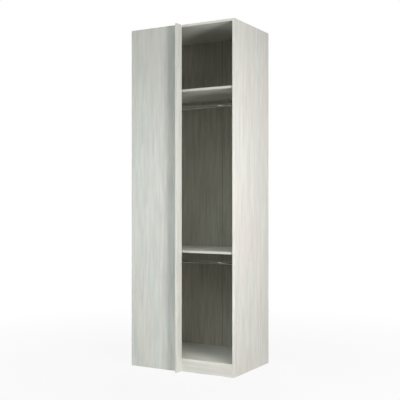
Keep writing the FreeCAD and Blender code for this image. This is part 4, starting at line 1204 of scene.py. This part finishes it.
class Studio(bpy.types.Operator):
    """Sets the pale floor, the soft lamps, the background and the camera"""

    bl_idname = "wardrobe.studio"
    bl_label = "Studio"

    WARM, COOL = (1, 0.962, 0.972), (0.935, 1, 1)
    LAMPS = {
        "right_lamp": Lamp((3.0, -1.67, 1.4), (0.3, 0, 1.2), (0.8, 1.1), 130, WARM),
        "left_lamp": Lamp((-2.3, -2.9, 1.0), (0, -0.2, 1.0), (0.8, 2.0), 150, COOL),
        "front_lamp": Lamp((0.95, -2.2, 2.1), (0.1, 0, 0.95), (1.7, 0.6), 60, COOL),
        "top_lamp": Lamp((0.8, -1.6, 3.9), (0.3, -0.4, 0.5), (2.4, 2.4), 180, COOL),
        "low_lamp": Lamp((0.5, -1.6, 1.5), (0.1, -0.25, 0.02), (0.8, 0.3), 34, COOL),
        "rear_lamp": Lamp((-1.6, 3.4, 2.2), (-0.1, 0.3, 1.1), (1.6, 1.6), 120, COOL),
    }
    FLOOR_SIZE, FLOOR_HEIGHT, MATT = 30, -0.1 * MM, 0.9
    NEAR_FLOOR, FAR_FLOOR, NEAR_GLOW = 0.8, 3.0, 0.9
    # Corners and tone of the black card that paints a dark reflection into the chrome rails
    CARD_LOW, CARD_HIGH, CARD_TONE = (-0.12, -0.45, 0), (0.04, -0.44, 2.35), (0.004,) * 3
    SENSOR_WIDTH, VIEW_DEPTH = 36, 60

    def lamp(self, name, watts, lamp):
        """A soft lamp whose grid keeps its light within the beam."""
        data = bpy.data.lights.new(name, "AREA")
        data.shape = "RECTANGLE"
        data.size, data.size_y = lamp.size
        data.spread = math.radians(lamp.beam)
        data.energy = watts
        data.color = lamp.tint
        made = bpy.data.objects.new(name, data)
        bpy.context.scene.collection.objects.link(made)
        made.location = lamp.place
        made.rotation_euler = (Vector(lamp.target) - made.location).to_track_quat("-Z", "Y").to_euler()
        made.visible_camera = False

    def seen_directly(self, nodes):
        """One for the rays that show the background itself, by eye, in metal or through glass."""
        light = nodes.add("ShaderNodeLightPath", {}, {})
        return light["Is Camera Ray"].larger(light["Is Glossy Ray"]).larger(light["Is Transmission Ray"])

    def floor(self, context):
        """A floor that shows a faint shadow near the wardrobe, white further off, and nothing from below."""
        bpy.ops.object.select_all(action="DESELECT")
        bpy.ops.mesh.primitive_grid_add(size=self.FLOOR_SIZE, location=(0, 0, self.FLOOR_HEIGHT))
        floor = settled("floor")
        surface = Surface("pale_floor", self.MATT, base=context.scene.wardrobe_studio.floor)
        glow = surface.add("ShaderNodeEmission", {}, {"Color": WHITE, "Strength": 1.0})["Emission"]
        main = Wire(surface, surface.shader.outputs["BSDF"])
        distance = surface.add("ShaderNodeVectorMath", {"operation": "LENGTH"}, {0: surface.place})["Value"]
        far = surface.spread(distance, self.NEAR_FLOOR, self.FAR_FLOOR)
        amount = self.seen_directly(surface) * (far * (1 - self.NEAR_GLOW) + self.NEAR_GLOW)
        shown = surface.add("ShaderNodeMixShader", {}, {0: amount, 1: main, 2: glow})["Shader"]
        below = surface.add("ShaderNodeNewGeometry", {}, {})["Backfacing"]
        clear = surface.add("ShaderNodeBsdfTransparent", {}, {})["BSDF"]
        result = surface.add("ShaderNodeMixShader", {}, {0: below, 1: shown, 2: clear})["Shader"]
        surface.feed(surface.tree.nodes["Material Output"].inputs["Surface"], result)
        floor.data.materials.append(surface.material)

    def world(self, context):
        """A background that is white where it is seen, and gives an even weak light."""
        world = bpy.data.worlds.new("studio")
        context.scene.world = world
        world.use_nodes = True
        nodes = Nodes(world.node_tree)
        background = nodes.tree.nodes["Background"].inputs
        fill = context.scene.wardrobe_studio.fill
        nodes.feed(background["Color"], WHITE)
        nodes.feed(background["Strength"], self.seen_directly(nodes) * (1 - fill) + fill)

    def dark_card(self):
        """A dark card that only polished metal shows: a painted dark reflection in the tubes, so that they
        read as chrome.
        """
        card = block("dark_card", self.CARD_LOW, self.CARD_HIGH)
        surface = Surface("card_black", self.MATT, base=self.CARD_TONE)
        surface.set("Specular IOR Level", 0)
        card.data.materials.append(surface.material)
        card.visible_camera = False
        card.visible_diffuse = False
        card.visible_shadow = False

    def camera(self, context):
        """The camera that sees the wardrobe as the photograph does."""
        studio = context.scene.wardrobe_studio
        data = bpy.data.cameras.new("camera")
        data.sensor_width = self.SENSOR_WIDTH
        data.lens = studio.camera_lens
        data.shift_y = studio.camera_shift
        data.clip_end = self.VIEW_DEPTH
        camera = bpy.data.objects.new("camera", data)
        context.scene.collection.objects.link(camera)
        camera.location = studio.camera_place
        camera.rotation_euler = (math.pi / 2, 0, studio.camera_turn)
        context.scene.camera = camera

    def execute(self, context):
        self.floor(context)
        self.world(context)
        self.dark_card()
        for name, lamp in self.LAMPS.items():
            self.lamp(name, getattr(context.scene.wardrobe_studio, name), lamp)
        self.camera(context)
        context.scene.view_settings.view_transform = "Standard"
        return {"FINISHED"}


OPERATORS = (
    BoardFinish, HangingRails, RailSockets, Screws, ShelfPins, CoverCaps, Cams, AngleBrackets, FootBrackets,
    LevellingFeet, Studio,
)


class WardrobePanel(bpy.types.Panel):
    """Lists the wardrobe's settings and the steps that build it"""

    bl_idname = "VIEW3D_PT_wardrobe"
    bl_label = "Corner wardrobe"
    bl_space_type = "VIEW_3D"
    bl_region_type = "UI"
    bl_category = "Wardrobe"

    def draw(self, context):
        for operator in OPERATORS:
            self.layout.operator(operator.bl_idname)
        for group in SETTINGS:
            settings = getattr(context.scene, group)
            column = self.layout.column()
            for name in settings.__annotations__:
                column.prop(settings, name)


CLASSES = (*SETTINGS.values(), *OPERATORS, WardrobePanel)


def register():
    for one in CLASSES:
        bpy.utils.register_class(one)
    for name, settings in SETTINGS.items():
        setattr(bpy.types.Scene, name, PointerProperty(type=settings))


def unregister():
    for name in SETTINGS:
        delattr(bpy.types.Scene, name)
    for one in reversed(CLASSES):
        bpy.utils.unregister_class(one)


def main():
    register()
    for operator in OPERATORS:
        group, name = operator.bl_idname.split(".")
        getattr(getattr(bpy.ops, group), name)()
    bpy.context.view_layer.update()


if __name__ == "__main__":
    main()
